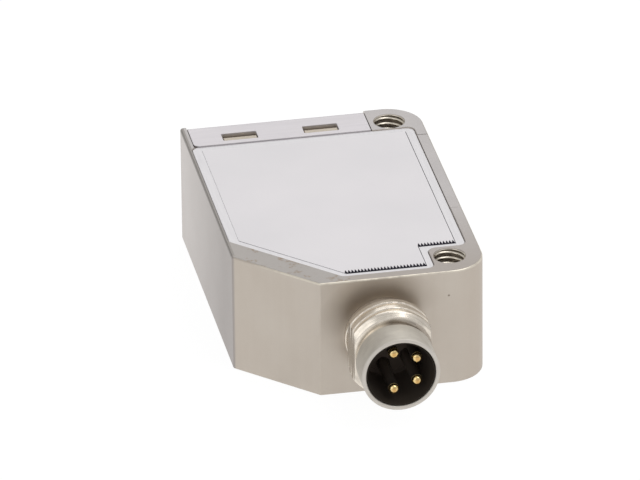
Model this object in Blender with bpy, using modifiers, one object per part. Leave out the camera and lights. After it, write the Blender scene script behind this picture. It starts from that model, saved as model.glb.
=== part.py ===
"""Reflective mark sensor in a stainless steel case, lying on its flat side.

Lengths are in metres and +Z is up. Inside the parent empty, X runs from the rear face to the lens
face, Y from the connector face to the indicator end, and Z from the underside to the welded cover.
"""

import math

import bmesh
import bpy
from mathutils import Vector

mm = 0.001

# Case
body_width = 20.5 * mm
body_length = 30.6 * mm
body_thickness = 10.5 * mm
front_corner_radius = 3.05 * mm
rear_corner_radius = 0.3 * mm
connector_face_width = 14.3 * mm
edge_round = 0.15 * mm
floor_thickness = 0.9 * mm

# Tapped fixing holes through the case, 25.4 mm apart
hole_from_front = 2.8 * mm
hole_from_near_end = 2.73 * mm
hole_from_far_end = 2.47 * mm
hole_radius = 1.25 * mm
hole_mouth_radius = 1.35 * mm
hole_mouth_depth = 0.15 * mm

# Cover plate and its seat
rear_rim = 0.28 * mm
end_rim = 0.95 * mm
front_rim = 0.98 * mm
corner_land = 2.2 * mm
hole_boss_width = 4.35 * mm
hole_boss_length = 4.45 * mm
cover_corner_radius = 0.7 * mm
cover_thickness = 0.4 * mm
cover_drop = 0.2 * mm
cover_ledge = 1.2 * mm

# Film on the cover plate, with fine teeth along its two edges nearest to the connector
film_thickness = 0.12 * mm
film_end_margin = 0.65 * mm
film_side_margin = 0.85 * mm
film_far_margin = 0.72 * mm
film_tooth_pitch = 0.26 * mm
film_tooth_depth = 0.28 * mm

# Folded end cap
cap_length = 3.85 * mm
cap_sheet = 0.45 * mm
cap_bend_radius = 0.6 * mm
cap_corner_radius = 0.5 * mm
cap_rear_strip = 0.52 * mm
cap_from_boss = 0.27 * mm
cap_shoulder = 0.3 * mm
slot_length = 3.0 * mm
slot_width = 1.3 * mm
slot_from_cap_side = 4.15 * mm
slot_from_cap_edge = 0.6 * mm
cap_opening_border = 1.65 * mm
cap_opening_height = 5.7 * mm
cap_opening_radius = 1.8 * mm

# Indicator window and its gasket
end_gasket_thickness = 0.2 * mm
end_window_wall = 0.85 * mm
end_window_proud = 0.3 * mm
hook_height = 0.36 * mm
hook_length = 0.9 * mm
bulkhead_opening_border = 0.3 * mm

# Teach button and its switch
button_radius = 1.65 * mm
button_flange_radius = 2.1 * mm
button_flange_thickness = 0.5 * mm
button_recess = 0.1 * mm
button_travel = 0.4 * mm
button_from_opening_end = 2.35 * mm
stem_radius = 0.8 * mm
plunger_radius = 0.65 * mm
switch_side = 3.6 * mm
switch_height = 1.35 * mm

# Front frame, window and gasket
frame_length = 13.8 * mm
frame_from_far_end = 5.55 * mm
frame_border_end = 1.2 * mm
frame_border_side = 1.7 * mm
frame_opening_radius = 0.8 * mm
window_recess = 0.2 * mm
window_flange = 0.6 * mm
window_flange_thickness = 0.45 * mm
window_gasket_thickness = 0.2 * mm

# Optics
lens_border = 0.49 * mm
lens_edge = 0.9 * mm
lens_bulge = 0.7 * mm
lens_depth = 1.2 * mm
light_channel_radius = 2.1 * mm
holder_wall = 0.8 * mm
side_channel_radius = 1.3 * mm
splitter_thickness = 0.5 * mm
splitter_lap = 0.1 * mm
splitter_margin = 0.5 * mm
retainer_width = 0.55 * mm
retainer_length = 0.7 * mm
chip_border = 0.26 * mm
chip_height = 0.8 * mm

# Circuit boards and the parts on them
board_thickness = 0.8 * mm
board_clearance = 0.9 * mm
flex_thickness = 0.15 * mm
flex_width = 3.0 * mm
flex_bend_radius = 0.5 * mm
control_ic_side = 3.8 * mm
driver_ic_length = 3.0 * mm
ic_gap = 1.0 * mm
ic_height = 0.9 * mm
inductor_side = 2.2 * mm
inductor_height = 1.6 * mm
led_width = 1.6 * mm
led_depth = 0.8 * mm
led_height = 0.7 * mm
led_spacing = 2.0 * mm
led_from_opening_end = 2.8 * mm

# Round connector with an M8 thread
plug_from_front = 8.93 * mm
plug_length = 7.4 * mm
plug_mouth_radius = 2.92 * mm
collar_radius = 3.27 * mm
collar_length = 2.8 * mm
neck_radius = 3.12 * mm
neck_length = 0.6 * mm
thread_radius = 3.95 * mm
thread_root_radius = 3.45 * mm
thread_pitch = 1.0 * mm
thread_turns = 3
thread_flat = 3.3 * mm
thread_relief = 0.3 * mm
plug_lip = 0.12 * mm
shank_radius = 3.5 * mm
shank_tail = 0.5 * mm
seal_section_radius = 0.2 * mm
seal_depth = 1.1 * mm
insert_recess = 5.4 * mm
pin_radius = 0.45 * mm
pin_recess = 0.5 * mm
pin_tail = 0.35 * mm
pin_pair_near = 1.48 * mm
pin_pair_near_half = 1.05 * mm
pin_pair_far = -0.48 * mm
pin_pair_far_half = 1.66 * mm
connector_board_border = 1.1 * mm

# Clearances
seam_gap = 0.06 * mm
seat_gap = 0.05 * mm
film_gap = 0.02 * mm
board_gap = 0.1 * mm
running_gap = 0.1 * mm
cutter_reach = 1.0 * mm

# Values worked out from the sizes above
mid_z = body_thickness / 2
corner_cut = body_width - connector_face_width
plug_x = body_width - plug_from_front
hole_x = body_width - hole_from_front
hole_ys = (hole_from_near_end, body_length - hole_from_far_end)
pocket_far = body_length - cap_length
pocket_front = body_width - front_rim
boss_side = body_width - hole_boss_width
cover_top = body_thickness - cover_drop
cover_bottom = cover_top - cover_thickness
ledge_z = cover_bottom - seat_gap
cavity_rear = rear_rim + cover_ledge
cavity_front = pocket_front - cover_ledge
cavity_end = end_rim + cover_ledge
cavity_far = pocket_far - cover_ledge
bulkhead_far = pocket_far + cap_shoulder
cap_near = pocket_far + seam_gap
cap_rear = cap_rear_strip + seam_gap
cap_front = boss_side - cap_from_boss
cap_mid = (cap_rear + cap_front) / 2
cap_inside = body_length - cap_sheet
frame_far = body_length - frame_from_far_end
frame_near = frame_far - frame_length
frame_mid = (frame_near + frame_far) / 2
board_bottom = floor_thickness + board_gap
board_top = ledge_z - board_gap - seat_gap

root = None
part_collection = None
cutter_collection = None


def clear_scene():
    for item in list(bpy.data.objects):
        bpy.data.objects.remove(item, do_unlink=True)


def new_collection(name):
    collection = bpy.data.collections.new(name)
    bpy.context.scene.collection.children.link(collection)
    return collection


def make_material(name, colour, roughness, metallic=0.0, alpha=1.0):
    material = bpy.data.materials.new(name)
    material.use_nodes = True
    shader = material.node_tree.nodes["Principled BSDF"]
    shader.inputs["Base Color"].default_value = (*colour, 1.0)
    shader.inputs["Roughness"].default_value = roughness
    shader.inputs["Metallic"].default_value = metallic
    shader.inputs["Alpha"].default_value = alpha
    return material


def place(obj, location, rotation=(0, 0, 0)):
    """Links an object under the parent empty at a place in the case's own frame."""
    part_collection.objects.link(obj)
    obj.parent = root
    obj.location = location
    obj.rotation_euler = rotation
    return obj


def dress(obj, material, smooth=False):
    obj.data.materials.clear()
    obj.data.materials.append(material)
    if smooth:
        obj.data.shade_smooth()
        obj.data.set_sharp_from_angle(angle=math.radians(35))
    return obj


def box(name, low, high):
    """A box between two corners, with its origin in its middle."""
    mesh = bpy.data.meshes.new(name)
    shape = bmesh.new()
    bmesh.ops.create_cube(shape, size=1)
    size = [b - a for a, b in zip(low, high)]
    bmesh.ops.scale(shape, vec=size, verts=shape.verts)
    shape.to_mesh(mesh)
    shape.free()
    middle = [(a + b) / 2 for a, b in zip(low, high)]
    return place(bpy.data.objects.new(name, mesh), middle)


def rounded_outline(corners, steps_per_turn=32):
    """Points of a closed outline from (x, y, radius) corners, with an arc at each radius."""
    points = []
    count = len(corners)
    for index, (x, y, radius) in enumerate(corners):
        here = Vector((x, y))
        back = Vector(corners[index - 1][:2]) - here
        ahead = Vector(corners[(index + 1) % count][:2]) - here
        if radius <= 0:
            points.append(here)
            continue
        back.normalize()
        ahead.normalize()
        half = back.angle(ahead) / 2
        reach = radius / math.tan(half)
        centre = here + (back + ahead).normalized() * radius / math.sin(half)
        first = here + back * reach - centre
        last = here + ahead * reach - centre
        sweep = math.pi - 2 * half
        turn = sweep if first.x * last.y - first.y * last.x > 0 else -sweep
        steps = max(2, round(steps_per_turn * sweep / (2 * math.pi)))
        for step in range(steps + 1):
            angle = turn * step / steps
            cos, sin = math.cos(angle), math.sin(angle)
            points.append(centre + Vector((first.x * cos - first.y * sin, first.x * sin + first.y * cos)))
    return points


def prism(name, outline, low, high, axis="Z"):
    """A flat outline given thickness from low to high along an axis.

    The outline is in X and Y for axis Z, in X and Z for axis Y, and in Y and Z for axis X.
    """
    curve = bpy.data.curves.new(name, "CURVE")
    curve.dimensions = "2D"
    curve.fill_mode = "BOTH"
    curve.extrude = (high - low) / 2
    spline = curve.splines.new("POLY")
    spline.points.add(len(outline) - 1)
    for point, spot in zip(spline.points, outline):
        point.co = (spot[0], spot[1], 0, 1)
    spline.use_cyclic_u = True
    flat = bpy.data.objects.new(name, curve)
    bpy.context.scene.collection.objects.link(flat)
    evaluated = flat.evaluated_get(bpy.context.evaluated_depsgraph_get())
    mesh = bpy.data.meshes.new_from_object(evaluated)
    bpy.data.objects.remove(flat, do_unlink=True)
    shape = bmesh.new()
    shape.from_mesh(mesh)
    bmesh.ops.remove_doubles(shape, verts=shape.verts, dist=0.001 * mm)
    shape.to_mesh(mesh)
    shape.free()
    middle = (low + high) / 2
    quarter = math.pi / 2
    places = {
        "X": ((middle, 0, 0), (quarter, 0, quarter)),
        "Y": ((0, middle, 0), (quarter, 0, 0)),
        "Z": ((0, 0, middle), (0, 0, 0)),
    }
    return place(bpy.data.objects.new(name, mesh), *places[axis])


def rounded_box_outline(low, high, radius):
    return rounded_outline([
        (low[0], low[1], radius),
        (high[0], low[1], radius),
        (high[0], high[1], radius),
        (low[0], high[1], radius),
    ])


def turned(name, profile, location, axis, closed=False, steps=48):
    """A profile of (radius, height) points turned about its height axis.

    The heights run along the given axis from the location: "-Y", "+Y", "+X" or "+Z".
    """
    mesh = bpy.data.meshes.new(name)
    edges = [(n, n + 1) for n in range(len(profile) - 1)]
    if closed:
        edges.append((len(profile) - 1, 0))
    mesh.from_pydata([(radius, 0, height) for radius, height in profile], edges, [])
    obj = bpy.data.objects.new(name, mesh)
    screw = obj.modifiers.new("Turn", "SCREW")
    screw.steps = steps
    screw.render_steps = steps
    screw.use_merge_vertices = True
    screw.merge_threshold = 0.001 * mm
    quarter = math.pi / 2
    rotations = {
        "-Y": (quarter, 0, 0),
        "+Y": (-quarter, 0, 0),
        "+X": (0, quarter, 0),
        "+Z": (0, 0, 0),
    }
    return place(obj, location, rotations[axis])


def rod(name, radius, low, high, centre, axis, steps=32):
    """A plain cylinder from low to high along X, Y or Z, about the other two coordinates."""
    spots = {
        "X": ((low, centre[0], centre[1]), "+X"),
        "Y": ((centre[0], low, centre[1]), "+Y"),
        "Z": ((centre[0], centre[1], low), "+Z"),
    }
    location, way = spots[axis]
    length = high - low
    return turned(name, [(0, length), (radius, length), (radius, 0), (0, 0)], location, way, steps=steps)


def bevel(obj, width, segments=2):
    modifier = obj.modifiers.new("Round", "BEVEL")
    modifier.width = width
    modifier.segments = segments
    modifier.limit_method = "ANGLE"
    modifier.angle_limit = math.radians(30)


def combine(target, tool, operation):
    modifier = target.modifiers.new(tool.name, "BOOLEAN")
    modifier.operation = operation
    modifier.solver = "EXACT"
    modifier.object = tool
    if part_collection in tool.users_collection:
        part_collection.objects.unlink(tool)
        cutter_collection.objects.link(tool)
    tool.hide_render = True
    tool.display_type = "WIRE"


def cut(target, *tools):
    for tool in tools:
        combine(target, tool, "DIFFERENCE")


def fuse(target, *tools):
    for tool in tools:
        combine(target, tool, "UNION")


def cover_corners(inset, side_inset=None, far_inset=None):
    """Corners of the cover's seat, moved inwards by an inset that may differ for its sides and far edge."""
    side_inset = inset if side_inset is None else side_inset
    far_inset = inset if far_inset is None else far_inset
    diagonal = corner_cut + (corner_land + side_inset) * math.sqrt(2)
    rear = rear_rim + side_inset
    near = end_rim + inset
    far = pocket_far - far_inset
    front = pocket_front - side_inset
    side = boss_side - inset
    step = hole_boss_length + inset
    convex = max(cover_corner_radius - inset, cover_corner_radius / 2)
    return [
        (rear, far, cover_corner_radius / 2),
        (rear, diagonal - rear, convex),
        (diagonal - near, near, convex),
        (side, near, convex),
        (side, step, cover_corner_radius / 2 + inset),
        (front, step, convex),
        (front, far, convex),
    ]


def body_corners():
    return [
        (0, body_length, rear_corner_radius),
        (0, corner_cut, rear_corner_radius),
        (corner_cut, 0, rear_corner_radius),
        (body_width, 0, front_corner_radius),
        (body_width, body_length, front_corner_radius),
    ]


def body_block(name):
    block = prism(name, rounded_outline(body_corners()), 0, body_thickness)
    bevel(block, edge_round)
    return block


def hole_cutter(name, x, y):
    """A through hole with a small countersink at each end."""
    reach = cutter_reach
    mouth = hole_mouth_radius
    profile = [
        (0, body_thickness + reach),
        (mouth, body_thickness + reach),
        (mouth, body_thickness),
        (hole_radius, body_thickness - hole_mouth_depth),
        (hole_radius, hole_mouth_depth),
        (mouth, 0),
        (mouth, -reach),
        (0, -reach),
    ]
    return turned(name, profile, (x, y, 0), "+Z", steps=32)


# Optical axis and the window that it passes through
window_low = (frame_near + frame_border_end + seam_gap, frame_border_side + seam_gap)
window_high = (frame_far - frame_border_end - seam_gap, body_thickness - frame_border_side - seam_gap)
flange_low = (window_low[0] - window_flange, window_low[1] - window_flange)
flange_high = (window_high[0] + window_flange, window_high[1] + window_flange)
frame_back = pocket_front
flange_front = frame_back - seat_gap
flange_back = flange_front - window_flange_thickness
gasket_front = flange_back - seat_gap
gasket_back = gasket_front - window_gasket_thickness
window_seat = gasket_back - seat_gap

# Connector axis
plug_axis = (plug_x, mid_z)
thread_start = plug_length - collar_length - neck_length - thread_pitch * thread_turns
shank_reach = thread_start - thread_relief
shank_end = -(cavity_end + shank_tail)
seal_mid = -seal_depth
insert_face = plug_length - insert_recess
insert_back = shank_end
pin_spots = (
    (pin_pair_far, pin_pair_far_half),
    (pin_pair_near, pin_pair_near_half),
    (pin_pair_near, -pin_pair_near_half),
    (pin_pair_far, -pin_pair_far_half),
)
connector_board_near = -insert_back + board_gap
connector_board_far = connector_board_near + board_thickness

# Indicator end, counted along Y
gasket_near = bulkhead_far + seat_gap
gasket_far = gasket_near + end_gasket_thickness
end_window_near = gasket_far + seat_gap
end_window_far = cap_inside - seat_gap
end_window_low = (cap_rear + end_window_wall / 6, cap_sheet + seat_gap)
end_window_high = (cap_front - end_window_wall / 6, body_thickness - cap_sheet - seat_gap)
cap_opening_low = (cap_rear + cap_opening_border, mid_z - cap_opening_height / 2)
cap_opening_high = (cap_front - cap_opening_border, mid_z + cap_opening_height / 2)
slot_near = cap_near + slot_from_cap_edge
slot_mids = (cap_rear + slot_from_cap_side, cap_front - slot_from_cap_side)
display_far = cavity_far - board_gap
display_near = display_far - board_thickness
display_rear = cavity_rear + board_gap
display_front = cap_front
button_x = cap_opening_high[0] - button_from_opening_end
switch_reach = switch_side / 2 + bulkhead_opening_border
bulkhead_half = button_x + switch_reach - cap_mid
bulkhead_low = (cap_mid - bulkhead_half, mid_z - switch_reach)
bulkhead_high = (cap_mid + bulkhead_half, mid_z + switch_reach)
button_top = body_length - button_recess
button_flange_far = end_window_far - end_window_wall - seat_gap
button_flange_near = button_flange_far - button_flange_thickness
switch_near = display_far + seat_gap
switch_far = switch_near + switch_height
plunger_far = (switch_far + button_flange_near) / 2

# Optics, counted back from the window along X; the splitter just covers the light channel
lens_radius = (window_high[1] - window_low[1]) / 2 - lens_border
chip_half = (light_channel_radius - chip_border) / math.sqrt(2)
holder_front = cavity_front - board_gap
holder_near = frame_mid - lens_radius - holder_wall
holder_far = frame_mid + lens_radius + holder_wall
holder_top = mid_z + lens_radius + holder_wall
lens_seat = holder_front - lens_depth - retainer_length - lens_edge
splitter_half = light_channel_radius + splitter_lap
splitter_x = lens_seat - splitter_margin - splitter_half
splitter_length = 2 * splitter_half * math.sqrt(2) - splitter_thickness
emitter_back = splitter_x - splitter_half - splitter_margin - chip_height
emitter_board_front = emitter_back - seat_gap
emitter_board_back = emitter_board_front - board_thickness
holder_back = emitter_board_front + board_gap
receiver_front = holder_near - seat_gap
receiver_back = receiver_front - chip_height

# Main board, standing along the rear wall
main_rear = cavity_rear + board_clearance
main_front = main_rear + board_thickness
cavity_diagonal = corner_cut + (corner_land + cover_ledge) * math.sqrt(2)
main_near = cavity_diagonal - main_rear + board_clearance
main_far = display_near - board_clearance


def make_housing(material):
    """Case body: block, cover pocket, cavity, fixing holes, and seats for cap, window and plug."""
    body = body_block("housing")
    top = body_thickness + cutter_reach
    pocket = prism("pocket_cutter", rounded_outline(cover_corners(0)), ledge_z, top)
    cavity = prism("cavity_cutter", rounded_outline(cover_corners(cover_ledge)), floor_thickness, top)
    cut(body, pocket, cavity)
    for number, y in enumerate(hole_ys, 1):
        cut(body, hole_cutter(f"hole_cutter_{number}", hole_x, y))
    cap_side = cap_front + seam_gap
    beyond = body_length + cutter_reach
    flange_room = cap_sheet + seat_gap
    cut(
        body,
        box("end_cutter", (cap_rear_strip, bulkhead_far, -cutter_reach), (cap_side, beyond, top)),
        box("upper_flange_cutter", (cap_rear_strip, pocket_far - cover_drop, body_thickness - flange_room),
            (cap_side, beyond, top)),
        box("lower_flange_cutter", (cap_rear_strip, pocket_far, -cutter_reach),
            (cap_side, beyond, flange_room)),
        box("bulkhead_cutter", (bulkhead_low[0], cavity_far - cutter_reach, bulkhead_low[1]),
            (bulkhead_high[0], beyond, bulkhead_high[1])),
    )
    frame_room_low = (frame_back - seam_gap, frame_near - seam_gap, -cutter_reach)
    frame_room_high = (body_width + cutter_reach, frame_far + seam_gap, top)
    recess_low = (flange_low[0] - seam_gap, flange_low[1] - seam_gap)
    recess_high = (flange_high[0] + seam_gap, flange_high[1] + seam_gap)
    recess = rounded_box_outline(recess_low, recess_high, frame_opening_radius + window_flange)
    light = rounded_box_outline(window_low, window_high, frame_opening_radius)
    beyond_front = body_width + cutter_reach
    cut(
        body,
        box("frame_cutter", frame_room_low, frame_room_high),
        prism("window_seat_cutter", recess, window_seat, beyond_front, "X"),
        prism("light_cutter", light, cavity_front - cutter_reach, beyond_front, "X"),
        rod("plug_cutter", shank_radius + seat_gap, -cutter_reach, cavity_end + cutter_reach, plug_axis, "Y", 48),
    )
    return dress(body, material)


def make_cover_plate(material):
    """Stamped cover in the shallow seat of the case."""
    plate = prism("cover_plate", rounded_outline(cover_corners(seam_gap)), cover_bottom, cover_top)
    return dress(plate, material)


def toothed_edge(start, end):
    """Points from start to end along an edge in X, with a row of notches cut towards +Y."""
    run = end[0] - start[0]
    count = max(1, round(abs(run) / film_tooth_pitch))
    points = []
    for tooth in range(count):
        points.append((start[0] + run * tooth / count, start[1]))
        points.append((start[0] + run * (tooth + 0.5) / count, start[1] + film_tooth_depth))
    return points + [end]


def make_cover_film(material):
    """Thin film on the cover plate; its edges beside the connector end are cut with fine teeth."""
    corners = cover_corners(film_end_margin, film_side_margin, film_far_margin)
    spots = [(x, y) for x, y, radius in corners]
    outline = spots[:2] + toothed_edge(spots[2], spots[3]) + toothed_edge(spots[4], spots[5]) + spots[6:]
    low = cover_top + film_gap
    film = prism("cover_film", outline, low, low + film_thickness)
    return dress(film, material)


def make_end_cap(material):
    """Folded sheet cap: two flanges with two slots each, and a web with the indicator opening."""
    high = body_thickness
    sheet = cap_sheet
    inner_radius = cap_bend_radius - cap_sheet
    section = rounded_outline([
        (cap_near, high, 0),
        (cap_near, high - sheet, 0),
        (cap_inside, high - sheet, inner_radius),
        (cap_inside, sheet, inner_radius),
        (cap_near, sheet, 0),
        (cap_near, 0, 0),
        (body_length, 0, cap_bend_radius),
        (body_length, high, cap_bend_radius),
    ])
    cap = prism("end_cap", section, cap_rear, cap_front, "X")
    round_cap_corners(cap)
    opening = rounded_box_outline(cap_opening_low, cap_opening_high, cap_opening_radius)
    cut(cap, prism("cap_opening_cutter", opening, cap_inside - sheet, body_length + cutter_reach, "Y"))
    for number, x in enumerate(slot_mids, 1):
        low = (x - slot_length / 2, slot_near, -cutter_reach)
        top = (x + slot_length / 2, slot_near + slot_width, high + cutter_reach)
        cut(cap, box(f"slot_cutter_{number}", low, top))
    return dress(cap, material, smooth=True)


def round_cap_corners(cap):
    """Rounds the two free flange corners beside the case's rear wall."""
    shape = bmesh.new()
    shape.from_mesh(cap.data)
    edges = []
    rear = (cap_rear - cap_front) / 2
    for edge in shape.edges:
        spots = [vert.co for vert in edge.verts]
        if all(abs(co.x - cap_near) < seat_gap and abs(co.z - rear) < seat_gap for co in spots):
            edges.append(edge)
    bmesh.ops.bevel(shape, geom=edges, offset=cap_corner_radius, segments=5, profile=0.5, affect="EDGES")
    shape.to_mesh(cap.data)
    shape.free()


def make_indicator_window(material):
    """Clear moulding behind the cap: a cup with a raised pane, snap hooks and a button hole."""
    low = (end_window_low[0], end_window_near, end_window_low[1])
    high = (end_window_high[0], end_window_far, end_window_high[1])
    window = box("indicator_window", low, high)
    wall = end_window_wall
    hollow = box(
        "window_hollow_cutter",
        (low[0] + wall, low[1] - cutter_reach, low[2] + wall),
        (high[0] - wall, high[1] - wall, high[2] - wall),
    )
    cut(window, hollow)
    pane_low = (cap_opening_low[0] + seam_gap, cap_opening_low[1] + seam_gap)
    pane_high = (cap_opening_high[0] - seam_gap, cap_opening_high[1] - seam_gap)
    pane_outline = rounded_box_outline(pane_low, pane_high, cap_opening_radius - seam_gap)
    pane = prism("pane_tool", pane_outline, high[1] - wall / 2, high[1] + end_window_proud, "Y")
    fuse(window, pane)
    hook_near = slot_near + seam_gap
    root_depth = wall / 2
    for number, x in enumerate(slot_mids, 1):
        reach = slot_length / 2 - seam_gap
        for side, face, way in (("upper", high[2], 1), ("lower", low[2], -1)):
            ramp = [
                (hook_near, face - way * root_depth),
                (hook_near, face + way * hook_height),
                (hook_near + seat_gap * 3, face + way * hook_height),
                (hook_near + hook_length, face - way * root_depth / 2),
                (hook_near + hook_length, face - way * root_depth),
            ]
            fuse(window, prism(f"{side}_hook_tool_{number}", ramp, x - reach, x + reach, "X"))
    hole_radius_here = button_radius + running_gap
    hole_low = high[1] - 2 * wall
    hole = rod("button_hole_cutter", hole_radius_here, hole_low, body_length, (button_x, mid_z), "Y")
    cut(window, hole)
    return dress(window, material)


def make_end_gasket(material):
    border = board_gap
    low = (end_window_low[0] + border, end_window_low[1] + border)
    high = (end_window_high[0] - border, end_window_high[1] - border)
    outer = rounded_box_outline(low, high, cap_corner_radius)
    gasket = prism("end_gasket", outer, gasket_near, gasket_far, "Y")
    low = (bulkhead_low[0], gasket_near - cutter_reach, bulkhead_low[1])
    high = (bulkhead_high[0], gasket_far + cutter_reach, bulkhead_high[1])
    cut(gasket, box("end_gasket_cutter", low, high))
    return dress(gasket, material)


def make_teach_button(material):
    """Round button with a retaining flange and the stem that meets the switch plunger."""
    profile = [
        (0, button_top - plunger_far),
        (button_radius - edge_round, button_top - plunger_far),
        (button_radius, button_top - edge_round - plunger_far),
        (button_radius, button_flange_far - plunger_far),
        (button_flange_radius, button_flange_far - plunger_far),
        (button_flange_radius, button_flange_near - plunger_far),
        (stem_radius, button_flange_near - plunger_far),
        (stem_radius, seat_gap),
        (0, seat_gap),
    ]
    button = turned("teach_button", profile, (button_x, plunger_far, mid_z), "+Y", steps=32)
    return dress(button, material, smooth=True)


def make_switch(can_material, plunger_material):
    """Push switch behind the button: a square base with a bore, and the plunger that slides in it."""
    side = switch_side / 2
    low = (button_x - side, switch_near, mid_z - side)
    high = (button_x + side, switch_far, mid_z + side)
    base = box("button_switch", low, high)
    bore_low = switch_near + board_gap * 2
    plunger_low = bore_low + board_gap + button_travel
    bore_radius = plunger_radius + running_gap
    centre = (button_x, mid_z)
    bore = rod("switch_bore_cutter", bore_radius, bore_low, switch_far + cutter_reach, centre, "Y", 24)
    cut(base, bore)
    plunger = rod("switch_plunger", plunger_radius, plunger_low, plunger_far, centre, "Y", 24)
    dress(plunger, plunger_material, smooth=True)
    return dress(base, can_material)


def make_display_board(board_material, led_materials):
    """Board behind the indicator window, with one lamp for the output and one for stability."""
    low = (display_rear, display_near, board_bottom)
    high = (display_front, display_far, board_top)
    dress(box("display_board", low, high), board_material)
    lamp_near = display_far + seat_gap
    x = bulkhead_low[0] + led_from_opening_end
    for (name, material), way in zip(led_materials, (1, -1)):
        z = mid_z + way * led_spacing / 2
        low = (x - led_width / 2, lamp_near, z - led_depth / 2)
        high = (x + led_width / 2, lamp_near + led_height, z + led_depth / 2)
        dress(box(name, low, high), material)


def make_front_frame(material):
    """Steel frame in the lens face, flush with the case all round."""
    frame = body_block("front_frame")
    keep_low = (frame_back, frame_near, -cutter_reach)
    keep_high = (body_width + cutter_reach, frame_far, body_thickness + cutter_reach)
    combine(frame, box("frame_keeper", keep_low, keep_high), "INTERSECT")
    low = (window_low[0] - seam_gap, window_low[1] - seam_gap)
    high = (window_high[0] + seam_gap, window_high[1] + seam_gap)
    opening = rounded_box_outline(low, high, frame_opening_radius + seam_gap)
    start = frame_back - cutter_reach
    cut(frame, prism("frame_opening_cutter", opening, start, body_width + cutter_reach, "X"))
    return dress(frame, material)


def make_front_window(material):
    """Acrylic window: a pane through the frame, on a wider flange behind it."""
    flange_outline = rounded_box_outline(flange_low, flange_high, frame_opening_radius + window_flange)
    window = prism("front_window", flange_outline, flange_back, flange_front, "X")
    pane_outline = rounded_box_outline(window_low, window_high, frame_opening_radius)
    pane = prism("front_pane_tool", pane_outline, flange_back, body_width - window_recess, "X")
    fuse(window, pane)
    return dress(window, material)


def make_window_gasket(material):
    outer = rounded_box_outline(flange_low, flange_high, frame_opening_radius + window_flange)
    gasket = prism("window_gasket", outer, gasket_back, gasket_front, "X")
    inner = rounded_box_outline(window_low, window_high, frame_opening_radius)
    low = gasket_back - cutter_reach
    cut(gasket, prism("window_gasket_cutter", inner, low, gasket_front + cutter_reach, "X"))
    return dress(gasket, material)


def make_optics_holder(material):
    """Block behind the window with the lens bore, the light path and the splitter slot."""
    low = (holder_back, holder_near, floor_thickness + board_gap)
    holder = box("optics_holder", low, (holder_front, holder_far, holder_top))
    centre = (frame_mid, mid_z)
    reach = cutter_reach
    bore = rod("lens_bore_cutter", lens_radius + seat_gap, lens_seat, holder_front + reach, centre, "X", 48)
    path = rod("light_path_cutter", light_channel_radius, holder_back - reach, holder_front, centre, "X")
    side = rod("side_path_cutter", side_channel_radius, holder_near - reach, frame_mid,
               (splitter_x, mid_z), "Y", 24)
    slot_bottom = mid_z - splitter_half - seat_gap
    half_length = splitter_length / 2 + seat_gap
    half_width = splitter_thickness / 2 + seat_gap
    slot = box(
        "splitter_slot_cutter",
        (splitter_x - half_width, frame_mid - half_length, slot_bottom),
        (splitter_x + half_width, frame_mid + half_length, holder_top + reach),
    )
    slot.rotation_euler = (0, 0, math.radians(45))
    cut(holder, bore, path, side, slot)
    return dress(holder, material)


def make_splitter(material):
    low = (splitter_x - splitter_thickness / 2, frame_mid - splitter_length / 2, mid_z - splitter_half)
    high = (splitter_x + splitter_thickness / 2, frame_mid + splitter_length / 2, mid_z + splitter_half)
    plate = box("beam_splitter", low, high)
    plate.rotation_euler = (0, 0, math.radians(45))
    return dress(plate, material)


def lens_surface(radius):
    """Height of the lens's spherical side above its flat side, at a radius."""
    sphere_radius = (lens_radius ** 2 + lens_bulge ** 2) / (2 * lens_bulge)
    return lens_edge + lens_bulge - sphere_radius + math.sqrt(sphere_radius ** 2 - radius ** 2)


def make_lens(material):
    """Plano-convex objective lens, its curved side towards the window."""
    steps = 8
    radii = [lens_radius * step / steps for step in range(steps + 1)]
    profile = [(radius, lens_surface(radius)) for radius in radii] + [(lens_radius, 0), (0, 0)]
    lens = turned("objective_lens", profile, (lens_seat + seat_gap, frame_mid, mid_z), "+X", steps=40)
    return dress(lens, material, smooth=True)


def make_lens_retainer(material):
    inner = lens_radius - retainer_width
    start = lens_seat + seat_gap + lens_surface(inner) + seat_gap
    profile = [
        (inner, retainer_length),
        (lens_radius, retainer_length),
        (lens_radius, 0),
        (inner, 0),
    ]
    ring = turned("lens_retainer", profile, (start, frame_mid, mid_z), "+X", closed=True, steps=40)
    return dress(ring, material, smooth=True)


def make_optics_boards(board_material, emitter_material, receiver_material):
    """Emitter and receiver chips with the small boards that carry them."""
    half = chip_half
    border = chip_half + board_clearance
    low = (emitter_board_back, frame_mid - border, board_bottom)
    high = (emitter_board_front, frame_mid + border, mid_z + border)
    dress(box("emitter_board", low, high), board_material)
    low = (emitter_back, frame_mid - half, mid_z - half)
    high = (emitter_back + chip_height, frame_mid + half, mid_z + half)
    dress(box("emitter_led", low, high), emitter_material)
    low = (splitter_x - half, receiver_back, mid_z - half)
    high = (splitter_x + half, receiver_front, mid_z + half)
    dress(box("receiver_chip", low, high), receiver_material)
    board_far = receiver_back - seat_gap
    low = (splitter_x - border, board_far - board_thickness, board_bottom)
    high = (splitter_x + border, board_far, mid_z + border)
    dress(box("receiver_board", low, high), board_material)


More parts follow.
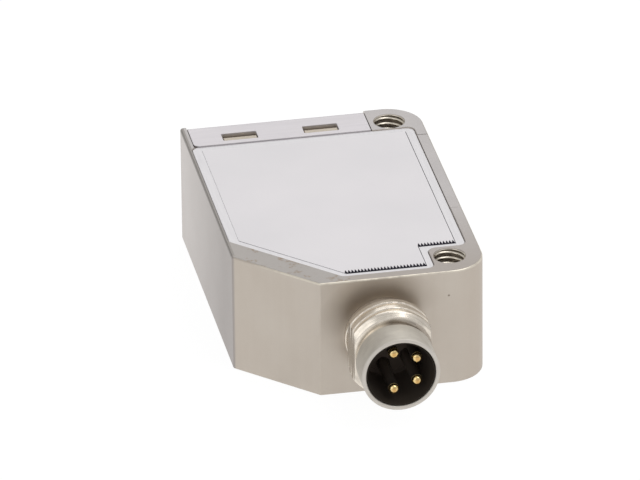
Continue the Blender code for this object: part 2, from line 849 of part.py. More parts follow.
def make_main_board(board_material, chip_material, coil_material):
    """Board along the rear wall with the controller, the output driver and a filter coil."""
    low = (main_rear, main_near, board_bottom)
    high = (main_front, main_far, board_top)
    dress(box("main_board", low, high), board_material)
    face = main_front + seat_gap
    chip_far = main_far - inductor_side - board_clearance
    chip_near = chip_far - control_ic_side
    low_z = board_bottom + board_clearance / 2
    dress(box("control_ic", (face, chip_near, low_z), (face + ic_height, chip_far, low_z + control_ic_side)),
          chip_material)
    high_z = board_top - board_clearance / 2
    low = (face, chip_far - driver_ic_length, low_z + control_ic_side + ic_gap)
    dress(box("driver_ic", low, (face + ic_height, chip_far, high_z)), chip_material)
    low = (face, main_far - inductor_side - board_clearance / 2, high_z - inductor_side)
    high = (face + inductor_height, main_far - board_clearance / 2, high_z)
    dress(box("filter_inductor", low, high), coil_material)


def ribbon(name, route, low_z, material):
    """Flexible strip on edge: a route in X and Y given the strip's thickness, and its width in Z."""
    half = flex_thickness / 2
    route = [Vector(spot) for spot in route]
    sides = {1: [], -1: []}
    for index, spot in enumerate(route):
        back = (spot - route[index - 1]).normalized() if index else None
        ahead = (route[index + 1] - spot).normalized() if index + 1 < len(route) else None
        normals = [Vector((-way.y, way.x)) for way in (back, ahead) if way is not None]
        middle = sum(normals, Vector((0, 0))).normalized()
        stretch = half / middle.dot(normals[0])
        turning = back.cross(ahead) if back is not None and ahead is not None else 0
        for side in (1, -1):
            radius = 0
            if turning:
                radius = flex_bend_radius - half * side * math.copysign(1, turning)
            sides[side].append((*(spot + middle * stretch * side), radius))
    outline = rounded_outline(sides[-1] + sides[1][::-1])
    return dress(prism(name, outline, low_z, low_z + flex_width, "Z"), material)


def make_flexes(material):
    """Three strips that join the boards to each other."""
    lift = seat_gap + flex_thickness / 2
    board_x = main_front + lift
    pin_edge = plug_x + pin_pair_far - pin_radius
    start_y = connector_board_far + lift
    bend_x = pin_edge - 2 * board_clearance
    ribbon("connector_flex", [
        (pin_edge - board_clearance / 3, start_y),
        (bend_x, start_y),
        (board_x, main_near + board_clearance),
        (board_x, main_near + 2 * board_clearance),
    ], board_bottom, material)
    emitter_x = emitter_board_back - lift
    loop_y = holder_near - board_clearance / 2
    loop_far = loop_y + 3 * board_clearance
    ribbon("optics_flex", [
        (emitter_x, loop_far),
        (emitter_x, loop_y),
        (board_x, loop_y),
        (board_x, loop_y + 2 * board_clearance),
    ], mid_z + chip_half + board_clearance - flex_width, material)
    display_y = display_near - lift
    ribbon("display_flex", [
        (board_x + 4 * board_clearance, display_y),
        (board_x, display_y),
        (board_x, main_far - inductor_side),
    ], board_bottom, material)


def make_connector_board(material):
    border = connector_board_border
    rear_end = cavity_diagonal - connector_board_near + 2 * board_gap
    low = (rear_end, connector_board_near, board_bottom)
    high = (plug_x + pin_pair_near + border, connector_board_far, mid_z + pin_pair_far_half + border)
    board = box("connector_board", low, high)
    for number, (x, z) in enumerate(pin_spots, 1):
        centre = (plug_x + x, mid_z + z)
        start = connector_board_near - cutter_reach
        end = connector_board_far + cutter_reach
        cut(board, rod(f"board_hole_cutter_{number}", pin_radius + seat_gap, start, end, centre, "Y", 16))
    return dress(board, material)


def thread_profile():
    """Crests and roots of the thread, from its mouth end to the shank at the case."""
    crest = thread_pitch / 8
    points = []
    for turn in range(thread_turns, 0, -1):
        top = thread_start + turn * thread_pitch
        middle = top - thread_pitch / 2
        points += [
            (thread_root_radius, top - crest / 2),
            (thread_radius, middle + crest),
            (thread_radius, middle - crest),
        ]
    points.append((thread_root_radius, thread_start + crest / 2))
    return points


def make_connector_shell(material):
    """Turned metal shell: collar, neck, thread with two flats, and the shank through the case wall."""
    collar_start = plug_length - collar_length
    neck_start = collar_start - neck_length
    groove = seal_section_radius + seat_gap
    groove_radius = shank_radius - 2 * seal_section_radius - seat_gap
    profile = [
        (plug_mouth_radius, plug_length - plug_lip),
        (plug_mouth_radius + plug_lip, plug_length),
        (collar_radius - plug_lip, plug_length),
        (collar_radius, plug_length - plug_lip),
        (collar_radius, collar_start),
        (neck_radius, collar_start - plug_lip),
        (neck_radius, neck_start),
    ]
    profile += thread_profile()
    profile += [
        (neck_radius, thread_start),
        (neck_radius, shank_reach),
        (shank_radius - plug_lip, shank_reach),
        (shank_radius, shank_reach - plug_lip),
        (shank_radius, seal_mid + groove),
        (groove_radius, seal_mid + groove),
        (groove_radius, seal_mid - groove),
        (shank_radius, seal_mid - groove),
        (shank_radius, shank_end),
        (plug_mouth_radius, shank_end),
    ]
    location = (plug_x, 0, mid_z)
    shell = turned("connector_shell", profile, location, "-Y", closed=True, steps=48)
    flat_start = -(neck_start + neck_length / 2)
    flat_end = -(shank_reach + thread_relief / 2)
    outside = thread_radius + cutter_reach
    for near, far in ((-outside, -thread_flat), (thread_flat, outside)):
        low = (plug_x + near, flat_start, mid_z - outside)
        high = (plug_x + far, flat_end, mid_z + outside)
        cut(shell, box("flat_cutter", low, high))
    return dress(shell, material, smooth=True)


def make_connector_seal(material):
    """Ring seal in the groove of the shank, its outside lightly flattened by the case wall."""
    steps = 10
    ring_middle = shank_radius - seal_section_radius
    profile = []
    for step in range(steps):
        angle = math.pi / 2 - 2 * math.pi * step / steps
        profile.append((
            ring_middle + seal_section_radius * math.cos(angle),
            seal_mid + seal_section_radius * math.sin(angle),
        ))
    location = (plug_x, 0, mid_z)
    ring = turned("connector_seal", profile, location, "-Y", closed=True, steps=40)
    return dress(ring, material, smooth=True)


def make_connector_insert(material):
    """Plastic insert that holds the contacts, set back in the shell."""
    radius = plug_mouth_radius - seat_gap
    profile = [
        (0, insert_face),
        (radius - edge_round, insert_face),
        (radius, insert_face - edge_round),
        (radius, insert_back),
        (0, insert_back),
    ]
    insert = turned("connector_insert", profile, (plug_x, 0, mid_z), "-Y", steps=40)
    for number, (x, z) in enumerate(pin_spots, 1):
        centre = (plug_x + x, mid_z + z)
        start = -insert_face - cutter_reach
        end = -insert_back + cutter_reach
        hole = rod(f"insert_hole_cutter_{number}", pin_radius + seat_gap, start, end, centre, "Y", 16)
        cut(insert, hole)
    return dress(insert, material, smooth=True)


def make_contact_pins(material):
    """Four round contacts with rounded tips, from the solder side to just inside the mouth."""
    tip = plug_length - pin_recess
    tail = -(connector_board_far + pin_tail)
    steps = 4
    profile = []
    for step in range(steps + 1):
        angle = math.pi / 2 * step / steps
        profile.append((pin_radius * math.sin(angle), tip - pin_radius * (1 - math.cos(angle))))
    profile += [(pin_radius, tail), (0, tail)]
    for number, (x, z) in enumerate(pin_spots, 1):
        location = (plug_x + x, 0, mid_z + z)
        dress(turned(f"contact_pin_{number}", profile, location, "-Y", steps=16), material, smooth=True)


def make_root():
    """Empty in the middle of the part's footprint, which carries every piece."""
    empty = bpy.data.objects.new("mark_sensor", None)
    empty.empty_display_size = body_thickness
    bpy.context.scene.collection.objects.link(empty)
    empty.location = (-body_width / 2, (plug_length - body_length) / 2, 0)
    return empty


def main():
    global root, part_collection, cutter_collection
    clear_scene()
    part_collection = new_collection("mark_sensor")
    cutter_collection = new_collection("mark_sensor_cutters")
    root = make_root()

    steel = make_material("satin_steel", (0.52, 0.48, 0.43), 0.42, 1.0)
    cover_steel = make_material("pale_steel", (0.72, 0.70, 0.71), 0.35, 1.0)
    film = make_material("silver_film", (0.80, 0.79, 0.80), 0.45, 0.3)
    plug_steel = make_material("plug_metal", (0.55, 0.52, 0.47), 0.38, 1.0)
    gold = make_material("gold", (0.90, 0.66, 0.28), 0.25, 1.0)
    black = make_material("black_plastic", (0.02, 0.018, 0.016), 0.5)
    rubber = make_material("black_rubber", (0.03, 0.03, 0.03), 0.8)
    grey_rubber = make_material("grey_rubber", (0.25, 0.26, 0.27), 0.7)
    clear = make_material("clear_plastic", (0.75, 0.72, 0.66), 0.15, 0.0, 0.5)
    smoke = make_material("dark_acrylic", (0.10, 0.05, 0.05), 0.1, 0.0, 0.8)
    glass = make_material("lens_glass", (0.85, 0.90, 0.92), 0.05, 0.0, 0.4)
    board = make_material("board", (0.04, 0.22, 0.10), 0.5)
    flex = make_material("amber_film", (0.65, 0.34, 0.08), 0.35)
    ferrite = make_material("ferrite", (0.10, 0.10, 0.11), 0.6)
    white = make_material("white_ceramic", (0.85, 0.85, 0.82), 0.4)
    amber = make_material("amber_lamp", (0.95, 0.45, 0.05), 0.3)
    green = make_material("green_lamp", (0.15, 0.75, 0.20), 0.3)

    make_housing(steel)
    make_cover_plate(cover_steel)
    make_cover_film(film)
    make_end_cap(cover_steel)
    make_indicator_window(clear)
    make_end_gasket(rubber)
    make_teach_button(grey_rubber)
    make_switch(black, white)
    make_display_board(board, (("operation_led", amber), ("stability_led", green)))
    make_front_frame(steel)
    make_front_window(smoke)
    make_window_gasket(rubber)
    make_optics_holder(black)
    make_splitter(glass)
    make_lens(glass)
    make_lens_retainer(black)
    make_optics_boards(board, white, black)
    make_main_board(board, black, ferrite)
    make_flexes(flex)
    make_connector_board(board)
    make_connector_shell(plug_steel)
    make_connector_seal(rubber)
    make_connector_insert(black)
    make_contact_pins(gold)


main()
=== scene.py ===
import math

import bmesh
import bpy
import numpy as np
from mathutils import Matrix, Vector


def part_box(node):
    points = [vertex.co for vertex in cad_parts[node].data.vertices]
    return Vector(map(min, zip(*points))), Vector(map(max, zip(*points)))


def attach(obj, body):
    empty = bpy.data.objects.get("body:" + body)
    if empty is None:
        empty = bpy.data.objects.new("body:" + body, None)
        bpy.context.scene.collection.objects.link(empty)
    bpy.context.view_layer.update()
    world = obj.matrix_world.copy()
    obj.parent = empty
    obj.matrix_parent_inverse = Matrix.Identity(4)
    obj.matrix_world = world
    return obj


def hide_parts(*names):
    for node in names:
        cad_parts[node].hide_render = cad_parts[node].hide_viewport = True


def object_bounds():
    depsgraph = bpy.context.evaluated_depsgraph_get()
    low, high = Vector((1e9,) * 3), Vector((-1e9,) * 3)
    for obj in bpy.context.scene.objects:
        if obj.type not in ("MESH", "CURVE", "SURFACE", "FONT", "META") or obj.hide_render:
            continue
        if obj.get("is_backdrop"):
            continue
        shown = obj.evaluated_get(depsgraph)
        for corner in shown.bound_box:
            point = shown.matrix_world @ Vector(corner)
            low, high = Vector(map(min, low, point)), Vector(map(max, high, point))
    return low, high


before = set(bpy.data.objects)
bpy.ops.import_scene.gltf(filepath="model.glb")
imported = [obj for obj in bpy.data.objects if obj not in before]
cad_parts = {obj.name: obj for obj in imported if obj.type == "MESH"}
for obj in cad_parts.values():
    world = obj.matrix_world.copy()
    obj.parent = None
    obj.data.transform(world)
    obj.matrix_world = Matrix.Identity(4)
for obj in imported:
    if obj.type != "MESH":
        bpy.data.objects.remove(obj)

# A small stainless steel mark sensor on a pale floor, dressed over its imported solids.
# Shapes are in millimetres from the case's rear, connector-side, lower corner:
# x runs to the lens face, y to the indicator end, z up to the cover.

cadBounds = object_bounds()
mm = 0.001
beyond = 1.0  # how far a cutter reaches past a face
caseCorner = np.array(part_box("housing")[0])


def boxOf(node):
    # lowest and highest corner of a solid, in millimetres from the case's corner
    low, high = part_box(node)
    return (np.array(low) - caseCorner) / mm, (np.array(high) - caseCorner) / mm


# Sizes that more than one piece or finish needs

caseShape = {
    "frontCorner": 3.05,
    "rearCorner": 0.3,
    "cut": 6.2,
    "edge": 0.17,
    "floor": 0.9,
    "rearRim": 0.28,
    "endRim": 0.95,
    "frontRim": 0.98,
    "land": 2.2,
    "bossWidth": 4.35,
    "bossLength": 4.45,
    "pocketCorner": 0.7,
    "leastCorner": 0.02,
    "pocketEdge": 0.07,
    "coverDrop": 0.1,
    "coverThickness": 0.4,
    "coverTurn": 0.06,
    "coverSeam": 0.025,
    "coverReach": 0.035,
    "ledge": 1.2,
    "seam": 0.06,
    "seat": 0.05,
    "bulkhead": 0.3,
    "switchRoom": 2.1,
    "switchDepth": 2.2,
    "windowRoom": {"corner": 1.4, "depth": 2.0},
    "lightRoom": {"inset": 0.6, "corner": 0.8, "depth": 2.4},
    "plugRoom": {"gap": 0.01, "step": 0.09, "depth": 3.2},
}
threadShape = {
    "minor": 1.25,
    "major": 1.5,
    "pitch": 0.5,
    "mouth": 1.37,
    "mouthDepth": 0.16,
    "fadeFrom": 0.1,
    "fadeLength": 0.14,
    "rows": 14,
    "around": 56,
    "over": (0.02, 0.03),
    "spots": ((17.7, 2.73), (17.7, 28.13)),
}
capShape = {
    "sheet": 0.45,
    "bend": 0.6,
    "corner": 0.5,
    "slotLength": 3.0,
    "slotWidth": 1.3,
    "slotCorner": 0.12,
    "slotFromSide": 4.15,
    "slotFromEdge": 0.6,
    "opening": (12.0, 5.7, 1.8),
    "edge": 0.05,
}
plugShape = {
    "mouth": 2.92,
    "lip": 0.12,
    "lipReach": 0.4,
    "collar": 3.27,
    "collarLength": 2.8,
    "collarTurn": 0.05,
    "collarFoot": 0.06,
    "neck": 3.12,
    "neckLength": 0.6,
    "neckTurn": 0.08,
    "neckEnd": 0.05,
    "crest": 3.93,
    "root": 3.4,
    "pitch": 1.0,
    "turns": 3,
    "phase": 0.1,
    "ribShare": 0.93,
    "ribSlope": 0.42,
    "fadeFrom": 0.02,
    "fadeLength": 0.3,
    "lastTurn": 0.1,
    "leadShare": 0.15,
    "chamfer": 0.45,
    "flat": 3.25,
    "relief": 0.45,
    "shoulder": 3.33,
    "shoulderTurn": 0.06,
    "shoulderEnd": 0.1,
    "shank": 3.5,
    "sealGap": 0.02,
    "sealDepth": 0.45,
}
width, length, height = boxOf("housing")[1]
middle = height / 2
capLow, capHigh = boxOf("end_cap")
frameLow, frameHigh = boxOf("front_frame")
windowLow, windowHigh = boxOf("front_window")
buttonLow, buttonHigh = boxOf("teach_button")
shellLow, shellHigh = boxOf("connector_shell")
pocketFar = capLow[1] - caseShape["seam"]
capCentre = (capLow[0] + capHigh[0]) / 2
slotCentres = (capLow[0] + capShape["slotFromSide"], capHigh[0] - capShape["slotFromSide"])
plugCentre = ((shellLow[0] + shellHigh[0]) / 2, 0.0, middle)
buttonCentre = ((buttonLow[0] + buttonHigh[0]) / 2, 0.0, middle)


# Shaping

def outline(corners, inset=0.0, steps=10):
    # corners are (x, y, radius), anticlockwise. Every side moves inwards by the inset, a new corner is where
    # two moved sides cross, and its arc is centre + R(turn * s) * arm for s from 0 to 1, with radius - inset
    # on the outside of a bend and radius + inset on the inside of one
    corners = np.array(corners, float)
    spots, radii = corners[:, :2], corners[:, 2]
    ahead = np.roll(spots, -1, 0) - spots
    ahead /= np.linalg.norm(ahead, axis=1)[:, None]
    back = np.roll(ahead, 1, 0)
    sideOf = lambda way: np.stack([-way[:, 1], way[:, 0]], 1)
    inAhead, inBack = sideOf(ahead), sideOf(back)
    cross = back[:, 0] * ahead[:, 1] - back[:, 1] * ahead[:, 0]
    crossing = np.stack([inAhead[:, 1] - inBack[:, 1], inBack[:, 0] - inAhead[:, 0]], 1)
    shift = inset * crossing / cross[:, None]
    turn = np.arctan2(cross, (back * ahead).sum(1))
    radius = np.where(radii > 0, np.maximum(radii - inset * np.sign(turn), 0), 0)
    first = spots + shift - back * (radius * np.tan(abs(turn) / 2))[:, None]
    centre = first + inBack * (np.sign(turn) * radius)[:, None]
    arm = (first - centre)[:, None]
    angle = turn[:, None] * np.linspace(0, 1, steps + 1)
    cos, sin = np.cos(angle), np.sin(angle)
    turned = np.stack([arm[..., 0] * cos - arm[..., 1] * sin, arm[..., 0] * sin + arm[..., 1] * cos], 2)
    keep = (radii[:, None] > 0) | (np.arange(steps + 1) == 0)
    return (centre[:, None] + turned)[keep]


def edgeArc(radius, inset, level, start, end, steps=4):
    # an edge's round: (inset + radius cos a, level + radius sin a), a from start to end in quarter turns
    angle = np.linspace(start, end, steps + 1) * math.pi / 2
    return list(zip(inset + radius * np.cos(angle), level + radius * np.sin(angle)))


def roundedEnd(face, edge, steps=4):
    # the profile's last stretch, a quarter round into a face
    return edgeArc(edge, edge, face - edge, 2, 1, steps)


def roundedEnds(low, high, edge, steps=4):
    # a whole profile with a quarter round at both faces
    return edgeArc(edge, edge, low + edge, 3, 2, steps) + roundedEnd(high, edge, steps)


def openMouth(low, face, lip, steps=4):
    # a cutter's profile from low up to a face, where it widens round a rounded lip, and on past the face
    return [(0, low)] + edgeArc(lip, -lip, face - lip, 0, 1, steps) + [(-lip, face + beyond)]


def meshPiece(name, points, faces):
    # one closed mesh from points in millimetres, seams merged and faces turned outwards
    mesh = bpy.data.meshes.new(name)
    mesh.from_pydata((points * mm + caseCorner).tolist(), [], faces)
    shape = bmesh.new()
    shape.from_mesh(mesh)
    bmesh.ops.remove_doubles(shape, verts=shape.verts, dist=2e-7)
    bmesh.ops.recalc_face_normals(shape, faces=shape.faces)
    shape.to_mesh(mesh)
    shape.free()
    piece = bpy.data.objects.new(name, mesh)
    bpy.context.scene.collection.objects.link(piece)
    return piece


def gridFaces(rows, columns, closeRows=False):
    # quads between neighbouring rows of a grid of points, whose columns close round
    row = np.arange(rows if closeRows else rows - 1)[:, None]
    column = np.arange(columns)[None]
    nextRow, nextColumn = (row + 1) % rows, (column + 1) % columns
    corner = lambda r, c: (r * columns + c).ravel()
    return np.stack([corner(row, column), corner(row, nextColumn),
                     corner(nextRow, nextColumn), corner(nextRow, column)], 1).tolist()


def tubeFaces(rows, around):
    # quads between the rings of a tube, and one face over each end
    ends = [list(range(around))[::-1], list(range(around * (rows - 1), around * rows))]
    return gridFaces(rows, around) + ends


axisOrder = {"z": (0, 1, 2), "x": (2, 0, 1), "y": (0, 2, 1)}


def slab(name, corners, profile, axis="z", steps=10):
    # P(s, t) = outline(s, inset(t)) at level(t) along the axis; both flat ends are closed
    # the outline is in x and y for axis z, in y and z for axis x, and in x and z for axis y
    loops = [outline(corners, inset, steps) for inset, level in profile]
    around = len(loops[0])
    levels = np.repeat([level for inset, level in profile], around)
    grid = np.column_stack([np.concatenate(loops), levels])
    return meshPiece(name, grid[:, axisOrder[axis]], tubeFaces(len(profile), around))


def roundedSides(low, high, radius):
    # the four corners of a rectangle, all with one radius
    return [(low[0], low[1], radius), (high[0], low[1], radius),
            (high[0], high[1], radius), (low[0], high[1], radius)]


def flatBox(name, low, high):
    # a slab with square corners between two opposite corners
    return slab(name, roundedSides(low[:2], high[:2], 0), [(0, low[2]), (0, high[2])])


def turnedPiece(name, radius, along, centre, way=-1, around=96, closed=False):
    # P(a, t) = centre + r(a, t) (cos a, sin a) in x and z, way * along(t) in y; r may be the same all round
    radius, along = np.array(radius, float), np.array(along, float)
    radius = radius if radius.ndim == 2 else np.repeat(radius[:, None], around, 1)
    angle = np.linspace(0, 2 * math.pi, around, endpoint=False)[None]
    reach = np.repeat(centre[1] + way * along[:, None], around, 1)
    grid = np.stack([centre[0] + radius * np.cos(angle), reach, centre[2] + radius * np.sin(angle)], 2)
    return meshPiece(name, grid.reshape(-1, 3), gridFaces(len(along), around, closed))


def combine(piece, operation, *others):
    # exact booleans between closed meshes, kept as the piece's own mesh
    for other in others:
        modifier = piece.modifiers.new("combine", "BOOLEAN")
        modifier.operation = operation
        modifier.solver = "EXACT"
        modifier.object = other
    bpy.context.view_layer.update()
    evaluated = piece.evaluated_get(bpy.context.evaluated_depsgraph_get())
    mesh = bpy.data.meshes.new_from_object(evaluated)
    piece.modifiers.clear()
    piece.data = mesh
    for other in others:
        bpy.data.objects.remove(other, do_unlink=True)


def fit(piece, material, body, *nodes, slot, sharp=32):
    # smooth shading with true flats, then the piece takes the place of its solids
    piece.data.materials.clear()
    piece.data.materials.append(material)
    piece.data.shade_smooth()
    piece.data.set_sharp_from_angle(angle=math.radians(sharp))
    weighted = piece.modifiers.new("true flats", "WEIGHTED_NORMAL")
    weighted.keep_sharp = True
    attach(piece, body)
    if nodes:
        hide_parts(*nodes)


# Shader maths

class Socket:
    # an output of a node; sums on it add Math nodes, with a number on either side
    def __init__(self, tree, output=None):
        self.tree = tree
        self.output = output

    def make(self, kind, settings=None, inputs=None, output=0):
        # any node: its settings first, then the values or links of its sockets
        node = self.tree.nodes.new("ShaderNode" + kind)
        for key, value in (settings or {}).items():
            setattr(node, key, value)
        for key, value in (inputs or {}).items():
            if isinstance(value, Socket):
                self.tree.links.new(value.output, node.inputs[key])
            else:
                node.inputs[key].default_value = value
        return Socket(self.tree, node.outputs[output])

    def math(self, operation, first, second):
        # one Math node
        return self.make("Math", {"operation": operation}, {0: first, 1: second})

    def __add__(self, other):
        return self.math("ADD", self, other)

    def __radd__(self, other):
        return self.math("ADD", other, self)

    def __sub__(self, other):
        return self.math("SUBTRACT", self, other)

    def __rsub__(self, other):
        return self.math("SUBTRACT", other, self)

    def __mul__(self, other):
        return self.math("MULTIPLY", self, other)

    def __rmul__(self, other):
        return self.math("MULTIPLY", other, self)

    def __truediv__(self, other):
        return self.math("DIVIDE", self, other)

    def __pow__(self, other):
        return self.math("POWER", self, other)

    def band(self, low, high):
        # 0 below low, 1 above high, straight between
        return self.make("MapRange", {"clamp": True}, {"Value": self, "From Min": low, "From Max": high})

    def under(self, low, high):
        # 1 below low, 0 above high
        return 1 - self.band(low, high)

    def noise(self, vector, scale, detail, roughness=0.55):
        # noise of about 0.5 on average; the scale is in cells a metre
        inputs = {"Vector": vector, "Scale": scale, "Detail": detail, "Roughness": roughness}
        return self.make("TexNoise", inputs=inputs)

    def stretched(self, vector, factors):
        # a place scaled along x, y and z, so that a small factor draws a pattern out
        return self.make("Mapping", inputs={"Vector": vector, "Scale": factors})

    def colour(self, factor, first, second):
        # first where the factor is 0, second where it is 1
        wide = lambda value: value if isinstance(value, Socket) else (*value, 1)
        inputs = {0: factor, 6: wide(first), 7: wide(second)}
        return self.make("Mix", {"data_type": "RGBA"}, inputs, output=2)


def farFrom(*parts):
    # the root of the sum of squares: two parts give a distance from an axis, one part a distance from a plane
    return sum(part ** 2 for part in parts) ** 0.5


def newFinish(name, constants):
    # a material with its shader's own sockets set, a socket maker, the place on the object and a plug-in
    material = bpy.data.materials.new(name)
    material.use_nodes = True
    tree = material.node_tree
    shader = tree.nodes["Principled BSDF"]
    for key, value in constants.items():
        shader.inputs[key].default_value = value
    maker = Socket(tree)
    place = maker.make("TexCoord", output="Object")

    def feed(**links):
        for key, value in links.items():
            tree.links.new(value.output, shader.inputs[key.replace("_", " ")])

    return material, maker, place, feed


def bumped(maker, surface, strength, distance):
    # a normal from a height between 0 and 1, with its distance in millimetres
    return maker.make("Bump", inputs={"Height": surface, "Strength": strength, "Distance": distance * mm})


def caseSpot(maker, place):
    # x, y and z in millimetres from the case's corner
    away = maker.make("VectorMath", {"operation": "SUBTRACT"}, {0: place, 1: tuple(caseCorner)})
    away = maker.make("VectorMath", {"operation": "SCALE"}, {0: away, "Scale": 1 / mm})
    return [maker.make("SeparateXYZ", inputs={0: away}, output=axis) for axis in "XYZ"]


# Finishes. In a look, a pair of places is where a change starts and ends, in millimetres

steelLook = {
    "wall": (0.55, 0.49, 0.425),
    "wallPale": (0.61, 0.555, 0.49),
    # the rear face's own tone is painted light: darker to its near end, lighter to its far end
    "rear": (0.385, 0.35, 0.33),
    "rearFarLit": (0.60, 0.56, 0.535),
    "corner": (0.47, 0.40, 0.335),
    "flat": (0.44, 0.418, 0.41),
    "flatPale": (0.485, 0.46, 0.452),
    "flatNear": (0.365, 0.328, 0.298),
    "land": (0.37, 0.345, 0.325),
    "rearRim": (0.27, 0.25, 0.23),
    "stain": (0.27, 0.21, 0.155),
    # painted highlight on the rounded upper edges
    "edge": (0.86, 0.80, 0.68),
    # painted shade and dark reflection along the pocket's inner edge
    "pocketEdgeShade": (0.20, 0.19, 0.215),
    # painted shadow of the plug on the connector face; the pit beside it uses the same colour
    "plugShadowAndPit": (0.185, 0.14, 0.10),
    "bore": (0.80, 0.74, 0.64),
    # painted shade in the roots of the fixing holes' threads
    "root": (0.085, 0.06, 0.04),
    "metallic": 0.78,
    "roughness": 0.43,
    "grainRough": 0.12,
    "cloudRough": 0.1,
    "edgeHighlightSheen": 0.1,
    "boreSheen": 0.12,
    "cloudScale": 260,
    "grainScale": 9000,
    "streakScale": 1500,
    "blotchScale": 900,
    "pit": (17.08, 0.0, 8.24),
    "pitEdge": (0.05, 0.12),
    "rearWall": (0.08, 0.2),
    "rearLightFade": (10, 28),
    "rearRimAcross": (0.26, 0.32),
    "rearRimDrop": (0.26, 0.2),
    "rearRimPast": (0.0, 0.4),
    "cornerAcross": (17.5, 20),
    "cornerAlong": (2, 5),
    "plugShadowFade": (3.9, 6.1),
    "endWall": (0.05, 0.15),
    "upperDrop": (0.19, 0.1),
    "topDrop": (0.035, 0.008),
    "flatFade": (1, 14),
    "landPast": (3.0, 3.2),
    "edgeHighlightAlong": (3, 5),
    "pocketEdgeShadeFrom": (0.16, 0.13),
    "pocketEdgeShadeTo": (0.008, 0.002),
    "boreEdge": (1.52, 1.58),
    "rootShadeEdge": (1.30, 1.44),
    "boreDrop": (0.1, 0.06),
    "threadEnds": (0.12, 0.09),
}


def shadedWall(maker, look, spot, clouds, streaks):
    # walls in soft clouds and faint streaks, with painted light making the rear one brighter to its far end,
    # a painted brown shadow of the plug round its upper side, and a pit beside the plug
    x, y, z = spot
    cloudy = clouds.band(0.35, 0.7) * 0.5 + streaks.band(0.35, 0.7) * 0.16
    wall = maker.colour(cloudy, look["wall"], look["wallPale"])
    # painted light on the rear face: darker to its near end, lighter to its far end
    rear = maker.colour(y.band(*look["rearLightFade"]), look["rear"], look["rearFarLit"])
    wall = maker.colour(x.under(*look["rearWall"]), wall, rear)
    corner = x.band(*look["cornerAcross"]) * y.under(*look["cornerAlong"])
    wall = maker.colour(corner * 0.5, wall, look["corner"])
    # painted shadow: the plug's shadow, brown, on the connector face round its upper side
    across, above = x - plugCentre[0], z - middle
    fromPlug = farFrom(across, above)
    facing = (above * 0.97 - across * 0.22) / fromPlug
    plugShadowAndPit = fromPlug.under(*look["plugShadowFade"]) * facing.band(0.2, 0.9) * y.under(*look["endWall"])
    wall = maker.colour(plugShadowAndPit * 0.66, wall, look["plugShadowAndPit"])
    here = maker.make("CombineXYZ", inputs={0: x, 1: y, 2: z})
    fromPit = maker.make("VectorMath", {"operation": "DISTANCE"}, {0: here, 1: look["pit"]}, output="Value")
    return maker.colour(fromPit.under(*look["pitEdge"]) * 0.8, wall, look["plugShadowAndPit"])


def shadedFlat(maker, look, spot, clouds, blotch):
    # machined flats, darker to the near end, with stained patches on the land beside the cut corner
    x, y, z = spot
    flat = maker.colour(clouds.band(0.35, 0.65), look["flat"], look["flatPale"])
    flat = maker.colour(y.under(*look["flatFade"]) * 0.95, flat, look["flatNear"])
    land = (x + y).under(*(caseShape["cut"] + past for past in look["landPast"]))
    flat = maker.colour(land, flat, look["land"])
    stain = (blotch.band(0.44, 0.58) * 0.85 + 0.08) * blotch.band(0.54, 0.64) * land
    return maker.colour(stain, flat, look["stain"])


def besidePocket(x, y):
    # 1 over the pocket and its inner edge, short of the outer near corner
    cut = caseShape["cut"]
    across = x.band(0.2, 0.24) * x.under(width - 0.6, width - 0.5)
    along = y.band(0.5, 0.6) * y.under(pocketFar + 0.1, pocketFar + 0.2)
    return across * along * (x + y).band(cut + 0.9, cut + 1.0) * (x - y).under(15.6, 16.2)


